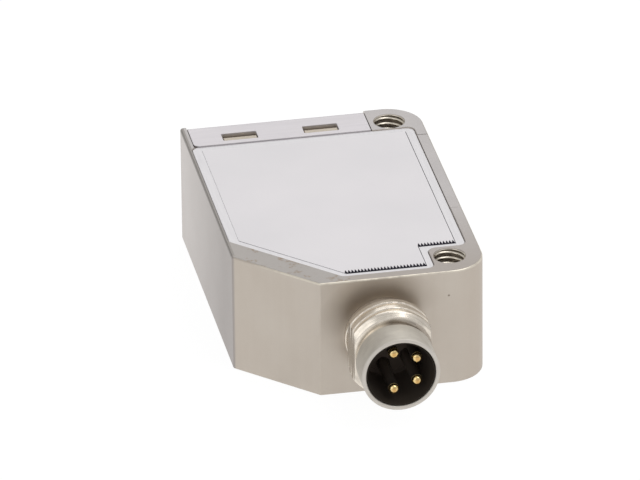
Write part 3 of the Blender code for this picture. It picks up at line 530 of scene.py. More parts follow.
def blastedSteel(name, look):
    # satin cast steel: shaded walls and flats, a painted highlight on the upper edges, a dark rear rim, and
    # polished threads with painted shade in their roots
    material, maker, place, feed = newFinish(name, {})
    x, y, z = caseSpot(maker, place)
    clouds = maker.noise(place, look["cloudScale"], 3)
    grain = maker.noise(place, look["grainScale"], 2)
    streaks = maker.noise(maker.stretched(place, (1, 1, 0.05)), look["streakScale"], 3)
    blotch = maker.noise(place, look["blotchScale"], 4, 0.65)
    rise = lambda start, end: z.band(height - start, height - end)
    fall = lambda start, end: z.under(height - start, height - end)
    upper, top = rise(*look["upperDrop"]), rise(*look["topDrop"])
    wall = shadedWall(maker, look, (x, y, z), clouds, streaks)
    flat = shadedFlat(maker, look, (x, y, z), clouds, blotch)
    tone = maker.colour(top, wall, flat)
    rearRim = x.under(*look["rearRimAcross"]) * rise(*look["rearRimDrop"])
    rearRim = rearRim * y.band(*(caseShape["cut"] + past for past in look["rearRimPast"]))
    inside = besidePocket(x, y)
    # painted shade and dark reflection along the pocket's inner rounded edge
    pocketEdgeShade = inside * rise(*look["pocketEdgeShadeFrom"]) * fall(*look["pocketEdgeShadeTo"])
    # painted highlight along the walls' rounded upper edges, broken up by blotches; the edges are also
    # glossier
    edgeHighlight = (upper - top) * (1 - rearRim) * y.under(*look["edgeHighlightAlong"]) * (1 - inside)
    edgeHighlight = edgeHighlight * (blotch.band(0.36, 0.5) * 0.6 + 0.4)
    tone = maker.colour(edgeHighlight * 0.8, tone, look["edge"])
    tone = maker.colour(rearRim * 0.85, tone, look["rearRim"])
    tone = maker.colour(pocketEdgeShade * 0.2, tone, look["pocketEdgeShade"])
    bore, root = 0, 0
    for spotX, spotY in threadShape["spots"]:
        fromHole = farFrom(x - spotX, y - spotY)
        inHole = fromHole.under(*look["boreEdge"])
        bore = bore + inHole
        # painted shade in the thread roots, towards the holes' outer radius
        root = root + fromHole.band(*look["rootShadeEdge"]) * inHole
    inThread = fall(*look["threadEnds"]) * z.band(*look["threadEnds"][::-1])
    bore = bore * fall(*look["boreDrop"])
    tone = maker.colour(bore, tone, look["bore"])
    tone = maker.colour(root * inThread * 0.9, tone, look["root"])
    rough = look["roughness"] + (grain - 0.5) * look["grainRough"] + (clouds - 0.5) * look["cloudRough"]
    rough = rough - edgeHighlight * look["edgeHighlightSheen"] - bore * look["boreSheen"]
    feed(Base_Color=tone, Roughness=rough, Metallic=look["metallic"] + bore * (1 - look["metallic"]),
         Normal=bumped(maker, grain + streaks * 0.4, 0.25, 0.012))
    return material


coverLook = {
    "colour": (0.665, 0.65, 0.66),
    "shade": (0.61, 0.595, 0.61),
    # painted shade on the cap's slot walls: this brown near the faces, the next colour deeper down
    "cut": (0.50, 0.47, 0.445),
    "slotShadeDeep": (0.15, 0.11, 0.08),
    "slotShade": 0.0,
    "along": (1, 0.05, 1),
    "metallic": 0.55,
    "roughness": 0.38,
    "lineScale": 5200,
    "cloudScale": 190,
}
capLook = {
    **coverLook,
    "colour": (0.625, 0.595, 0.615),
    "shade": (0.57, 0.545, 0.56),
    "slotShade": 0.8,
    "along": (0.05, 1, 1),
}


def rolledSheet(name, look):
    # rolled sheet: very fine lines along one way, a slow change of tone, and painted shade on the slot walls,
    # browner near the faces and darker deeper down
    material, maker, place, feed = newFinish(name, {"Metallic": look["metallic"]})
    x, y, z = caseSpot(maker, place)
    depth = farFrom(z - middle)
    wall = depth.under(middle - 0.16, middle - 0.06)
    wall = wall * y.band(capLow[1] + 0.2, capLow[1] + 0.3) * y.under(capHigh[1] - 1.2, capHigh[1] - 1.1)
    lines = maker.noise(maker.stretched(place, look["along"]), look["lineScale"], 3)
    clouds = maker.noise(place, look["cloudScale"], 2)
    mottled = lines.band(0.35, 0.7) * 0.35 + clouds.band(0.35, 0.7) * 0.3
    tone = maker.colour(mottled, look["colour"], look["shade"])
    # painted shade on the slot walls, browner near the faces and darker deeper down; the cover has none
    cut = maker.colour(depth.band(middle - 0.4, middle - 0.22), look["slotShadeDeep"], look["cut"])
    tone = maker.colour(wall * look["slotShade"], tone, cut)
    feed(Base_Color=tone, Roughness=look["roughness"] + (lines - 0.5) * 0.16,
         Normal=bumped(maker, lines, 0.12, 0.006))
    return material


filmLook = {
    "colour": (0.74, 0.715, 0.73),
    "shade": (0.705, 0.685, 0.70),
    "metallic": 0.25,
    "roughness": 0.46,
    "cloudScale": 120,
    "grainScale": 14000,
}


def silverFilm(name, look):
    # satin film: slow clouds of tone over a fine grain, lying a little unevenly
    material, maker, place, feed = newFinish(name, {"Metallic": look["metallic"]})
    clouds = maker.noise(place, look["cloudScale"], 2)
    grain = maker.noise(place, look["grainScale"], 2)
    tone = maker.colour(clouds.band(0.3, 0.7), look["colour"], look["shade"])
    feed(Base_Color=tone, Roughness=look["roughness"] + (grain - 0.5) * 0.1,
         Normal=bumped(maker, grain * 0.3 + clouds, 0.08, 0.02))
    return material


plugLook = {
    "collar": (0.63, 0.595, 0.53),
    "thread": (0.93, 0.85, 0.74),
    "shade": (0.45, 0.41, 0.36),
    "lip": (0.67, 0.63, 0.58),
    # painted shade in the neck between thread and collar
    "neck": (0.25, 0.21, 0.17),
    "milled": (0.46, 0.42, 0.365),
    "metallic": 0.85,
    "collarRough": 0.6,
    "threadRough": 0.23,
    "markScale": 16000,
    "cloudScale": 700,
}


def turnedMetal(name, look):
    # turning marks change along the lathe's axis and hardly round it; the thread is brighter than the collar,
    # the neck between them has painted shade on the lens side, and the milled flats are dull
    material, maker, place, feed = newFinish(name, {"Metallic": look["metallic"]})
    x, y, z = caseSpot(maker, place)
    marks = maker.noise(maker.stretched(place, (0.03, 1, 0.03)), look["markScale"], 2)
    clouds = maker.noise(place, look["cloudScale"], 3)
    start = shellLow[1]
    threaded = y.band(start + 2.85, start + 3.3)
    lip = y.under(start + 0.1, start + 0.2)
    tone = maker.colour(threaded, look["collar"], look["thread"])
    tone = maker.colour(clouds.band(0.4, 0.75) * 0.5 + marks.band(0.4, 0.7) * 0.25, tone, look["shade"])
    tone = maker.colour(lip * 0.8, tone, look["lip"])
    across = x - plugCentre[0]
    fromPlug = farFrom(across, z - middle)
    ahead = start + plugShape["collarLength"]
    # painted shade in the neck, on the lens side
    neck = y.band(ahead - 0.03, ahead + 0.02) * y.under(ahead + 0.62, ahead + 0.72)
    neck = neck * fromPlug.under(3.36, 3.52) * fromPlug.band(3.0, 3.05) * across.band(-1.0, -0.2)
    tone = maker.colour(neck * 0.75, tone, look["neck"])
    flat, relief = plugShape["flat"], -plugShape["relief"]
    milled = threaded * farFrom(across).band(flat - 0.06, flat - 0.02) * y.under(relief - 0.25, relief - 0.15)
    tone = maker.colour(milled * 0.85, tone, look["milled"])
    rough = look["collarRough"] + threaded * (look["threadRough"] - look["collarRough"])
    feed(Base_Color=tone, Roughness=rough + (clouds - 0.5) * 0.15 + (marks - 0.5) * 0.1,
         Normal=bumped(maker, marks, 0.2, 0.006))
    return material


pinBoxes = [boxOf(f"contact_pin_{number}") for number in range(1, 5)]
pinCentres = [((low[0] + high[0]) / 2, 0.0, (low[2] + high[2]) / 2) for low, high in pinBoxes]
pinRadius = (pinBoxes[0][1][0] - pinBoxes[0][0][0]) / 2
pinTip = pinBoxes[0][0][1]
goldLook = {
    "colour": (0.98, 0.80, 0.42),
    "shade": (0.92, 0.70, 0.32),
    # painted reflection, a deeper gold in the middle of each rounded tip
    "tip": (0.50, 0.25, 0.06),
    # painted shade on the shafts down in the insert, paler towards the foot
    "shaftShade": (0.02, 0.016, 0.013),
    "foot": (0.14, 0.11, 0.09),
    "roughness": 0.12,
    "cloudScale": 2600,
}


def goldPlate(name, look):
    # rounded tips with a painted reflection, a deeper gold in the middle, on shafts that are dull and painted
    # dark as shade down in the insert
    material, maker, place, feed = newFinish(name, {"Specular IOR Level": 0.3})
    x, y, z = caseSpot(maker, place)
    clouds = maker.noise(place, look["cloudScale"], 3)
    rim = 1
    for centre in pinCentres:
        rim = rim * farFrom(x - centre[0], z - centre[2]).band(0.25 * pinRadius, 0.75 * pinRadius)
    shaftShade = y.band(pinTip + 0.86 * pinRadius, pinTip + 1.2 * pinRadius)
    foot = y.band(pinTip + 0.6, pinTip + 3.5)
    tone = maker.colour(clouds.band(0.3, 0.7), look["colour"], look["shade"])
    # painted reflection: a deeper gold in the middle of each tip
    tone = maker.colour((1 - rim) * 0.75, tone, look["tip"])
    # painted shade on the shafts down in the insert
    tone = maker.colour(shaftShade, tone, maker.colour(foot, look["shaftShade"], look["foot"]))
    feed(Base_Color=tone, Metallic=1 - shaftShade * 0.9, Roughness=look["roughness"] + clouds * 0.1 + shaftShade * 0.5,
         Normal=bumped(maker, clouds, 0.1, 0.005))
    return material


def mouldedPlastic(name, colour, shade, roughness, constants=None, scale=3500, depth=0.01):
    # moulded resin or rubber: spark-eroded grain with slow changes of tone
    material, maker, place, feed = newFinish(name, {"Metallic": 0.0, **(constants or {})})
    grain = maker.noise(place, scale, 3)
    clouds = maker.noise(place, 300, 2)
    tone = maker.colour(clouds.band(0.3, 0.7) * 0.6 + grain.band(0.3, 0.7) * 0.4, colour, shade)
    feed(Base_Color=tone, Roughness=roughness + (grain - 0.5) * 0.14, Normal=bumped(maker, grain, 0.2, depth))
    return material


resinLook = {
    "mouth": (0.035, 0.028, 0.022),
    # painted light: the liner is paler deep in
    "deepPaintedLight": (0.14, 0.11, 0.09),
    "roughness": 0.85,
    "grainScale": 3500,
}


def deepResin(name, look):
    # matt black insert; painted light makes its liner paler deeper in, so it is a little darker towards the
    # shell's mouth
    material, maker, place, feed = newFinish(name, {"Specular IOR Level": 0.12})
    x, y, z = caseSpot(maker, place)
    grain = maker.noise(place, look["grainScale"], 3)
    # painted light: the liner gets paler deeper in
    depth = (y - grain * 0.3).band(shellLow[1] + 0.6, boxOf("connector_insert")[0][1] - 0.4)
    feed(Base_Color=maker.colour(depth, look["mouth"], look["deepPaintedLight"]),
         Roughness=look["roughness"] + (grain - 0.5) * 0.14, Normal=bumped(maker, grain, 0.2, 0.01))
    return material


boardLook = {"mask": (0.025, 0.16, 0.06), "copper": (0.06, 0.26, 0.11), "roughness": 0.34, "runScale": 900}


def maskedBoard(name, look):
    # solder mask over copper runs: the edges between cells stand a little proud and paler
    material, maker, place, feed = newFinish(name, {"Metallic": 0.0})
    cells = {"Vector": place, "Scale": look["runScale"]}
    runs = maker.make("TexVoronoi", {"feature": "DISTANCE_TO_EDGE"}, cells).band(0.05, 0.09)
    feed(Base_Color=maker.colour(runs, look["copper"], look["mask"]),
         Roughness=look["roughness"] + maker.noise(place, 4000, 2) * 0.12,
         Normal=bumped(maker, 1 - runs, 0.3, 0.02))
    return material


def clearPart(weight, ior):
    # how much light passes through, and how strongly it bends
    return {"Transmission Weight": weight, "IOR": ior}


print("finishes")
steel = blastedSteel("blasted steel", steelLook)
sheet = rolledSheet("rolled sheet", coverLook)
capSheet = rolledSheet("cap sheet", capLook)
film = silverFilm("silver film", filmLook)
plugMetal = turnedMetal("turned metal", plugLook)
gold = goldPlate("gold plate", goldLook)
insertResin = deepResin("insert resin", resinLook)
boardMask = maskedBoard("solder mask", boardLook)
# colour, shade, roughness, and where they differ the shader's constants, the grain's scale and its depth
# a dark layer under the film: painted shade at its edges and in its notches
filmShadeLayer = mouldedPlastic("film shade layer", (0.010, 0.009, 0.018), (0.022, 0.019, 0.028), 0.8,
                          {"Specular IOR Level": 0.1})
blackResin = mouldedPlastic("black resin", (0.055, 0.045, 0.037), (0.07, 0.057, 0.046), 0.75)
whiteResin = mouldedPlastic("white resin", (0.82, 0.82, 0.79), (0.74, 0.74, 0.70), 0.45)
clearResin = mouldedPlastic("clear resin", (0.82, 0.71, 0.56), (0.76, 0.65, 0.50), 0.2,
                            clearPart(0.4, 1.49), 1200, 0.003)
smokedAcrylic = mouldedPlastic("smoked acrylic", (0.045, 0.012, 0.014), (0.03, 0.008, 0.010), 0.06,
                               clearPart(0.45, 1.49), 500, 0.002)
opticGlass = mouldedPlastic("optic glass", (0.88, 0.92, 0.93), (0.84, 0.89, 0.91), 0.04,
                            clearPart(0.9, 1.52), 400, 0.0005)
blackRubber = mouldedPlastic("black rubber", (0.022, 0.022, 0.023), (0.035, 0.034, 0.034), 0.72,
                             scale=6000, depth=0.02)
greyRubber = mouldedPlastic("grey rubber", (0.16, 0.165, 0.17), (0.20, 0.205, 0.21), 0.62,
                            scale=5000, depth=0.015)
ferrite = mouldedPlastic("ferrite", (0.075, 0.075, 0.08), (0.10, 0.10, 0.105), 0.58)
amberFoil = mouldedPlastic("amber foil", (0.52, 0.25, 0.05), (0.44, 0.20, 0.04), 0.3)
amberLamp = mouldedPlastic("amber lamp", (0.85, 0.40, 0.06), (0.75, 0.33, 0.04), 0.25)
greenLamp = mouldedPlastic("green lamp", (0.12, 0.60, 0.16), (0.09, 0.50, 0.12), 0.25)


# Case body

def coverCorners(shape, inset, sideInset=None, farInset=None):
    # the cover's outline, anticlockwise from the rear, with the step round the near fixing hole
    side = inset if sideInset is None else sideInset
    far = inset if farInset is None else farInset
    cut = shape["cut"] + (shape["land"] + inset) * math.sqrt(2)
    rear, near = shape["rearRim"] + side, shape["endRim"] + inset
    boss, front = width - shape["bossWidth"] - inset, width - shape["frontRim"] - side
    step = shape["bossLength"] + inset
    inner, outer = shape["pocketCorner"], max(shape["pocketCorner"] - inset, shape["leastCorner"])
    return [(rear, cut - rear, outer), (cut - near, near, outer), (boss, near, outer), (boss, step, inner),
            (front, step, outer), (front, pocketFar - far, outer), (rear, pocketFar - far, outer)]


def threadedBore(name, spot, shape):
    # r(a, z) = minor + depth * (1 - cos(2 pi z / pitch - a)) / 2, and the mouths open as cones
    under, over = shape["over"]
    rows = np.arange(-under, height + over, shape["pitch"] / shape["rows"])
    z = np.concatenate([[-beyond], rows, [height + beyond]])
    angle = np.linspace(0, 2 * math.pi, shape["around"], endpoint=False)
    wave = (1 - np.cos(2 * math.pi * z[:, None] / shape["pitch"] - angle[None])) / 2
    fromEnd = np.minimum(z, height - z)[:, None]
    wave = wave * np.clip((fromEnd - shape["fadeFrom"]) / shape["fadeLength"], 0, 1)
    radius = shape["minor"] + (shape["major"] - shape["minor"]) * wave
    slope = (shape["mouth"] - shape["minor"]) / shape["mouthDepth"]
    radius = np.maximum(radius, shape["mouth"] - np.clip(fromEnd, 0, None) * slope)
    level = np.repeat(z[:, None], len(angle), 1)
    grid = np.stack([spot[0] + radius * np.cos(angle), spot[1] + radius * np.sin(angle), level], 2)
    return meshPiece(name, grid.reshape(-1, 3), tubeFaces(len(z), len(angle)))


def caseRooms(shape):
    # the cap, the frame and the plug sit in rooms cut from the case, a seam or a seat larger than they are
    seam, top, end = shape["seam"], height + beyond, length + beyond
    capSide, capRear = capHigh[0] + seam, capLow[0] - seam
    flange = capShape["sheet"] + shape["seat"]
    switch = shape["switchRoom"]
    switchReach = abs(buttonCentre[0] - capCentre) + switch
    window, light, plug = shape["windowRoom"], shape["lightRoom"], shape["plugRoom"]
    windowSides = roundedSides(windowLow[1:] - seam, windowHigh[1:] + seam, window["corner"])
    lightSides = roundedSides(windowLow[1:] + light["inset"], windowHigh[1:] - light["inset"],
                              light["corner"])
    bore, mouth = plugShape["shank"] + plug["gap"], plugShape["shoulder"] + plug["gap"]
    return [
        flatBox("end_room", (capRear, pocketFar + shape["bulkhead"], -beyond), (capSide, end, top)),
        flatBox("upper_room", (capRear, pocketFar - shape["coverDrop"], height - flange),
                (capSide, end, top)),
        flatBox("lower_room", (capRear, pocketFar, -beyond), (capSide, end, flange)),
        flatBox("frame_room", (frameLow[0] - seam, frameLow[1] - seam, -beyond),
                (width + beyond, frameHigh[1] + seam, top)),
        flatBox("switch_room", (capCentre - switchReach, pocketFar - shape["switchDepth"], middle - switch),
                (capCentre + switchReach, end, middle + switch)),
        slab("window_room", windowSides, [(0, windowHigh[0] - window["depth"]), (0, width + beyond)], "x"),
        slab("light_room", lightSides, [(0, frameLow[0] - light["depth"]), (0, width + beyond)], "x"),
        turnedPiece("plug_room", [0, bore, bore, mouth, mouth, 0],
                    [-plug["depth"], -plug["depth"], -plug["step"], -plug["step"], beyond, beyond],
                    plugCentre, around=180),
    ]


def buildCase(shape):
    # a rounded block with its near rear corner cut off, less the cover's pocket, the cavity, rooms and bores
    corners = [(0, length, shape["rearCorner"]), (0, shape["cut"], shape["rearCorner"]),
               (shape["cut"], 0, shape["rearCorner"]), (width, 0, shape["frontCorner"]),
               (width, length, shape["frontCorner"])]
    case = slab("housing_shell", corners, roundedEnds(0, height, shape["edge"]), steps=16)
    ledgeLevel = height - shape["coverDrop"] - shape["coverThickness"] - shape["seat"]
    pocket = slab("pocket", coverCorners(shape, 0), openMouth(ledgeLevel, height, shape["pocketEdge"]))
    cavity = slab("cavity", coverCorners(shape, shape["ledge"]), [(0, shape["floor"]), (0, height)])
    rooms = caseRooms(shape)
    bores = [threadedBore("bore", spot, threadShape) for spot in threadShape["spots"]]
    combine(case, "DIFFERENCE", pocket, cavity, *rooms, *bores)
    fit(case, steel, "case", "housing", slot="case_steel", sharp=28)


print("case body")
buildCase(caseShape)


# Cover plate and film

def buildCover(shape):
    # a flat plate with a turned-over upper edge, reaching into the seam at the cap
    top = height - shape["coverDrop"]
    profile = [(0, top - shape["coverThickness"])] + roundedEnd(top, shape["coverTurn"], 5)
    plate = slab("cover_sheet", coverCorners(shape, shape["coverSeam"], None, -shape["coverReach"]), profile)
    fit(plate, sheet, "case", "cover_plate", slot="cover_steel")


filmShape = {
    "endMargin": 0.65,
    "sideMargin": 0.85,
    "farMargin": 0.72,
    "toothPitch": 0.27,
    "toothDepth": 0.5,
    # thickness of the dark layer of painted shade under the film
    "shadeLayer": 0.014,
    "thickness": 0.026,
    "spread": 0.006,
    "shift": (0.05, 0.14),
}


def toothedSide(start, end, shape):
    # x runs evenly from start to end, and y = start + depth * (0, 1, 0, 1 ...)
    count = int(round(abs(end[0] - start[0]) / shape["toothPitch"]))
    share = np.linspace(0, 1, 2 * count + 1)
    offset = np.where(np.arange(2 * count + 1) % 2, shape["toothDepth"], 0)
    return [(x, start[1] + y, 0) for x, y in zip(start[0] + (end[0] - start[0]) * share, offset)]


def buildFilm(shape):
    # the film's two near sides are toothed; a dark layer of painted shade lies under it, shifted so that a
    # thin dark line shows at its edges and in its notches
    corners = coverCorners(caseShape, shape["endMargin"], shape["sideMargin"], shape["farMargin"])
    spots = [(x, y, 0) for x, y, radius in corners]
    low = height - caseShape["coverDrop"]
    aside, ahead = shape["shift"]
    moves = [(0, 0), (ahead, -ahead), (aside, -ahead), (aside, -ahead), (aside, -ahead), (aside, 0), (0, 0)]
    under = [(x + right, y + up, corner) for (x, y, corner), (right, up) in zip(spots, moves)]
    # painted shade: the dark layer, shifted to show as a line at the film's edges and through its notches
    spread, backed = -shape["spread"], low + shape["shadeLayer"]
    shadeLayer = slab("film_shade_layer", under, [(spread, low), (spread, backed)])
    toothed = [spots[0], *toothedSide(spots[1], spots[2], shape), *toothedSide(spots[3], spots[4], shape),
               *spots[5:]]
    upper = slab("film_upper", toothed, [(0, low + shape["shadeLayer"] / 4), (0, low + shape["thickness"])])
    fit(upper, film, "case", "cover_film", slot="silver_film")
    fit(shadeLayer, filmShadeLayer, "case", slot="silver_film")


print("cover and film")
buildCover(caseShape)
buildFilm(filmShape)


# End cap

def openingSides(gap=0.0):
    # the indicator opening in x and z, drawn in by a gap
    across, up, radius = capShape["opening"]
    return roundedSides((capCentre - across / 2 + gap, middle - up / 2 + gap),
                        (capCentre + across / 2 - gap, middle + up / 2 - gap), radius - gap)


def slotSides(centre, shape):
    # one slot of a flange in x and y
    near = capLow[1] + shape["slotFromEdge"]
    return roundedSides((centre - shape["slotLength"] / 2, near),
                        (centre + shape["slotLength"] / 2, near + shape["slotWidth"]), shape["slotCorner"])


def buildCap(shape):
    # the folded section in y and z is carried along x; slots and opening are cut with rounded mouths
    near, far = capLow[1], capHigh[1]
    wall, bend, lip, corner = shape["sheet"], shape["bend"], shape["edge"], shape["corner"]
    inner = bend - wall
    section = [(near, height, 0), (near, height - wall, 0), (far - wall, height - wall, inner),
               (far - wall, wall, inner), (near, wall, 0), (near, 0, 0), (far, 0, bend), (far, height, bend)]
    cap = slab("cap_fold", section, roundedEnds(capLow[0], capHigh[0], lip, 3), "x")
    side = capLow[0]
    wedge = [(side - beyond, near - beyond, 0), (side + corner, near - beyond, 0), (side + corner, near, 0),
             (side, near, corner), (side, near + corner, 0), (side - beyond, near + corner, 0)]
    cornerCut = slab("corner_cut", wedge, [(0, -beyond), (0, height + beyond)], steps=8)
    bothMouths = [(-lip, -beyond)] + edgeArc(lip, -lip, lip, 3, 4, 3) + openMouth(0, height, lip, 3)[1:]
    slotCuts = [slab("slot_cut", slotSides(centre, shape), bothMouths, steps=4) for centre in slotCentres]
    openingCut = slab("opening_cut", openingSides(), openMouth(far - beyond, far, lip, 3), "y")
    combine(cap, "DIFFERENCE", cornerCut, *slotCuts, openingCut)
    fit(cap, capSheet, "case", "end_cap", slot="cover_steel")


print("end cap")
buildCap(capShape)


# Indicator window and button

windowShape = {
    "wall": 0.85,
    "corner": 0.15,
    "hollowCorner": 0.3,
    "proud": 0.3,
    "round": 0.16,
    "hookTop": 0.08,
    "hookRise": 0.02,
    "hookLength": 0.62,
    "hookRound": 0.06,
    "hookFall": 0.08,
    "hookFoot": 0.75,
    "hookRoot": 1.0,
    "hookGap": 0.1,
    "roomRadius": 1.75,
    "roomMouth": 1.85,
    "roomMouthDepth": 0.1,
    "roomDepth": 1.8,
    "roomOver": 0.01,
}


def windowHook(centre, flip, shape):
    # a ramp in y and z, carried along x; depths are measured in from the cap's upper face, or from its lower
    # one where flip is -1
    level = lambda depth: middle + flip * (middle - depth)
    start = capLow[1] + capShape["slotFromEdge"] + caseShape["seam"]
    end = start + shape["hookLength"]
    foot = end + shape["hookFall"]
    half = capShape["slotLength"] / 2 - shape["hookGap"]
    ramp = [(start, level(shape["hookRoot"]), 0), (start, level(shape["hookTop"]), 0),
            (end, level(shape["hookTop"] + shape["hookRise"]), shape["hookRound"]),
            (foot, level(shape["hookFoot"]), 0), (foot, level(shape["hookRoot"]), 0)]
    return slab("window_hook", ramp[::-flip], [(0, centre - half), (0, centre + half)], "x", steps=4)


def buildIndicatorWindow(shape):
    # a cup behind the cap, open to the case, with a pane in the opening and hooks in the flanges' slots
    low, high = boxOf("indicator_window")
    wall = shape["wall"]
    inside = capShape["sheet"] + caseShape["seat"]
    near, far = low[1], capHigh[1] - inside
    cupLow, cupHigh = np.array([low[0], inside]), np.array([high[0], height - inside])
    cup = slab("window_cup", roundedSides(cupLow, cupHigh, shape["corner"]), [(0, near), (0, far)], "y")
    hollow = slab("window_hollow", roundedSides(cupLow + wall, cupHigh - wall, shape["hollowCorner"]),
                  [(0, near - beyond), (0, far - wall)], "y")
    face = far + shape["proud"]
    profile = [(0, far - wall / 2)] + roundedEnd(face, shape["round"])
    pane = slab("window_pane", openingSides(caseShape["seam"]), profile, "y")
    combine(cup, "DIFFERENCE", hollow)
    hooks = [windowHook(centre, flip, shape) for centre in slotCentres for flip in (1, -1)]
    combine(cup, "UNION", pane, *hooks)
    back, mouth, bore = far - shape["roomDepth"], shape["roomMouth"], shape["roomRadius"]
    reach = [back, back, face - shape["roomMouthDepth"], face + shape["roomOver"], face + shape["roomOver"]]
    room = turnedPiece("button_room", [0, bore, bore, mouth, 0], reach, buttonCentre, way=1, around=64)
    combine(cup, "DIFFERENCE", room)
    fit(cup, clearResin, "case", "indicator_window", slot="clear_plastic")


buttonShape = {
    "stem": 0.8,
    "flange": 2.1,
    "flangeDrop": 0.55,
    "flangeThickness": 0.5,
    "radius": 1.65,
    "round": 0.22,
    "dish": 0.12,
    "ring": 1.15,
    "ringWidth": 0.09,
    "ringDepth": 0.06,
}


def buildButton(shape):
    # r and h of the profile: stem, flange, side, rounded rim, then a face h = top - dish (1 - (r / R)^2) with
    # a ring of depth * exp(-((r - ring) / width)^2) pressed in
    top, near, curve = buttonHigh[1], buttonLow[1], shape["round"]
    windowFar = boxOf("indicator_window")[1][1]
    flangeNear = windowFar - windowShape["proud"] - windowShape["wall"] - shape["flangeDrop"]
    flangeFar = flangeNear + shape["flangeThickness"]
    stem, flange, outer = shape["stem"], shape["flange"], shape["radius"]
    rim = outer - curve
    arc = np.linspace(0, math.pi / 2, 7)
    inner = np.linspace(rim, 0, 24)
    ring = shape["ringDepth"] * np.exp(-((inner - shape["ring"]) / shape["ringWidth"]) ** 2)
    face = top - shape["dish"] * (1 - (inner / rim) ** 2) - ring
    radius = [0, stem, stem, flange, flange, outer, *(rim + curve * np.cos(arc)), *inner[1:]]
    along = [near, near, flangeNear, flangeNear, flangeFar, flangeFar, *(top - curve + curve * np.sin(arc)),
             *face[1:]]
    button = turnedPiece("button_cap", radius, along, buttonCentre, way=1, around=72)
    fit(button, greyRubber, "button", "teach_button", slot="grey_rubber")


print("indicator window and button")
buildIndicatorWindow(windowShape)
buildButton(buttonShape)


# Front frame and its window

frontShape = {
    "borderEnd": 1.2,
    "borderSide": 1.7,
    "radius": 0.86,
    "lip": 0.12,
    "endEdge": 0.02,
    "paneRecess": 0.2,
    "paneRound": 0.14,
    "flange": 0.6,
    "flangeThickness": 0.45,
}


def frontSides(shape, gap=0.0):
    # the frame's opening in y and z, drawn in by a gap
    return roundedSides((frameLow[1] + shape["borderEnd"] + gap, shape["borderSide"] + gap),
                        (frameHigh[1] - shape["borderEnd"] - gap, height - shape["borderSide"] - gap),
                        shape["radius"] - gap)


def buildFrontFrame(shape):
    # section in x and z with the case's rounded outer edges, carried along y; the opening has a rounded mouth
    edge, turn = caseShape["edge"], shape["endEdge"]
    near, far = frameLow[1], frameHigh[1]
    section = [(frameLow[0], 0, 0), (width, 0, edge), (width, height, edge), (frameLow[0], height, 0)]
    profile = [(turn, near), (0, near + turn), (0, far - turn), (turn, far)]
    bar = slab("front_bezel", section, profile, "y", steps=6)
    mouth = openMouth(frameLow[0] - beyond, width, shape["lip"])
    combine(bar, "DIFFERENCE", slab("bezel_opening", frontSides(shape), mouth, "x"))
    fit(bar, steel, "case", "front_frame", slot="case_steel")


def buildFrontWindow(shape):
    # inset and level of the profile run over the flange, up the pane's side and round its edge
    back, flange = windowLow[0], -shape["flange"]
    step = back + shape["flangeThickness"]
    profile = [(flange, back), (flange, step), (0, step),
               *roundedEnd(width - shape["paneRecess"], shape["paneRound"], 5)]
    pane = slab("front_pane", frontSides(shape, caseShape["seam"]), profile, "x")
    fit(pane, smokedAcrylic, "case", "front_window", slot="dark_acrylic")


print("front frame")
buildFrontFrame(frontShape)
buildFrontWindow(frontShape)


# Round connector

def threadRib(along, angle, start, end, shape):
    # the thread's share of its depth at (a, h): a rounded tooth of h / pitch - a / 2 pi that fades in at the
    # relief, kept under a cone that leads in from the neck
    phase = (along / shape["pitch"] - angle / (2 * math.pi) + shape["phase"]) % 1
    rib = np.clip((shape["ribShare"] - np.abs(2 * phase - 1)) / shape["ribSlope"], 0, 1)
    rib = rib * rib * (3 - 2 * rib)
    fadeIn = np.clip((along - start - shape["fadeFrom"]) / shape["fadeLength"], 0, 1)
    fadeOut = np.clip((end - along) / shape["lastTurn"], 0, 1)
    leadIn = np.clip((end - along) / shape["chamfer"] + shape["leadShare"], 0, 1)
    return np.minimum(rib * fadeIn * fadeOut, leadIn)


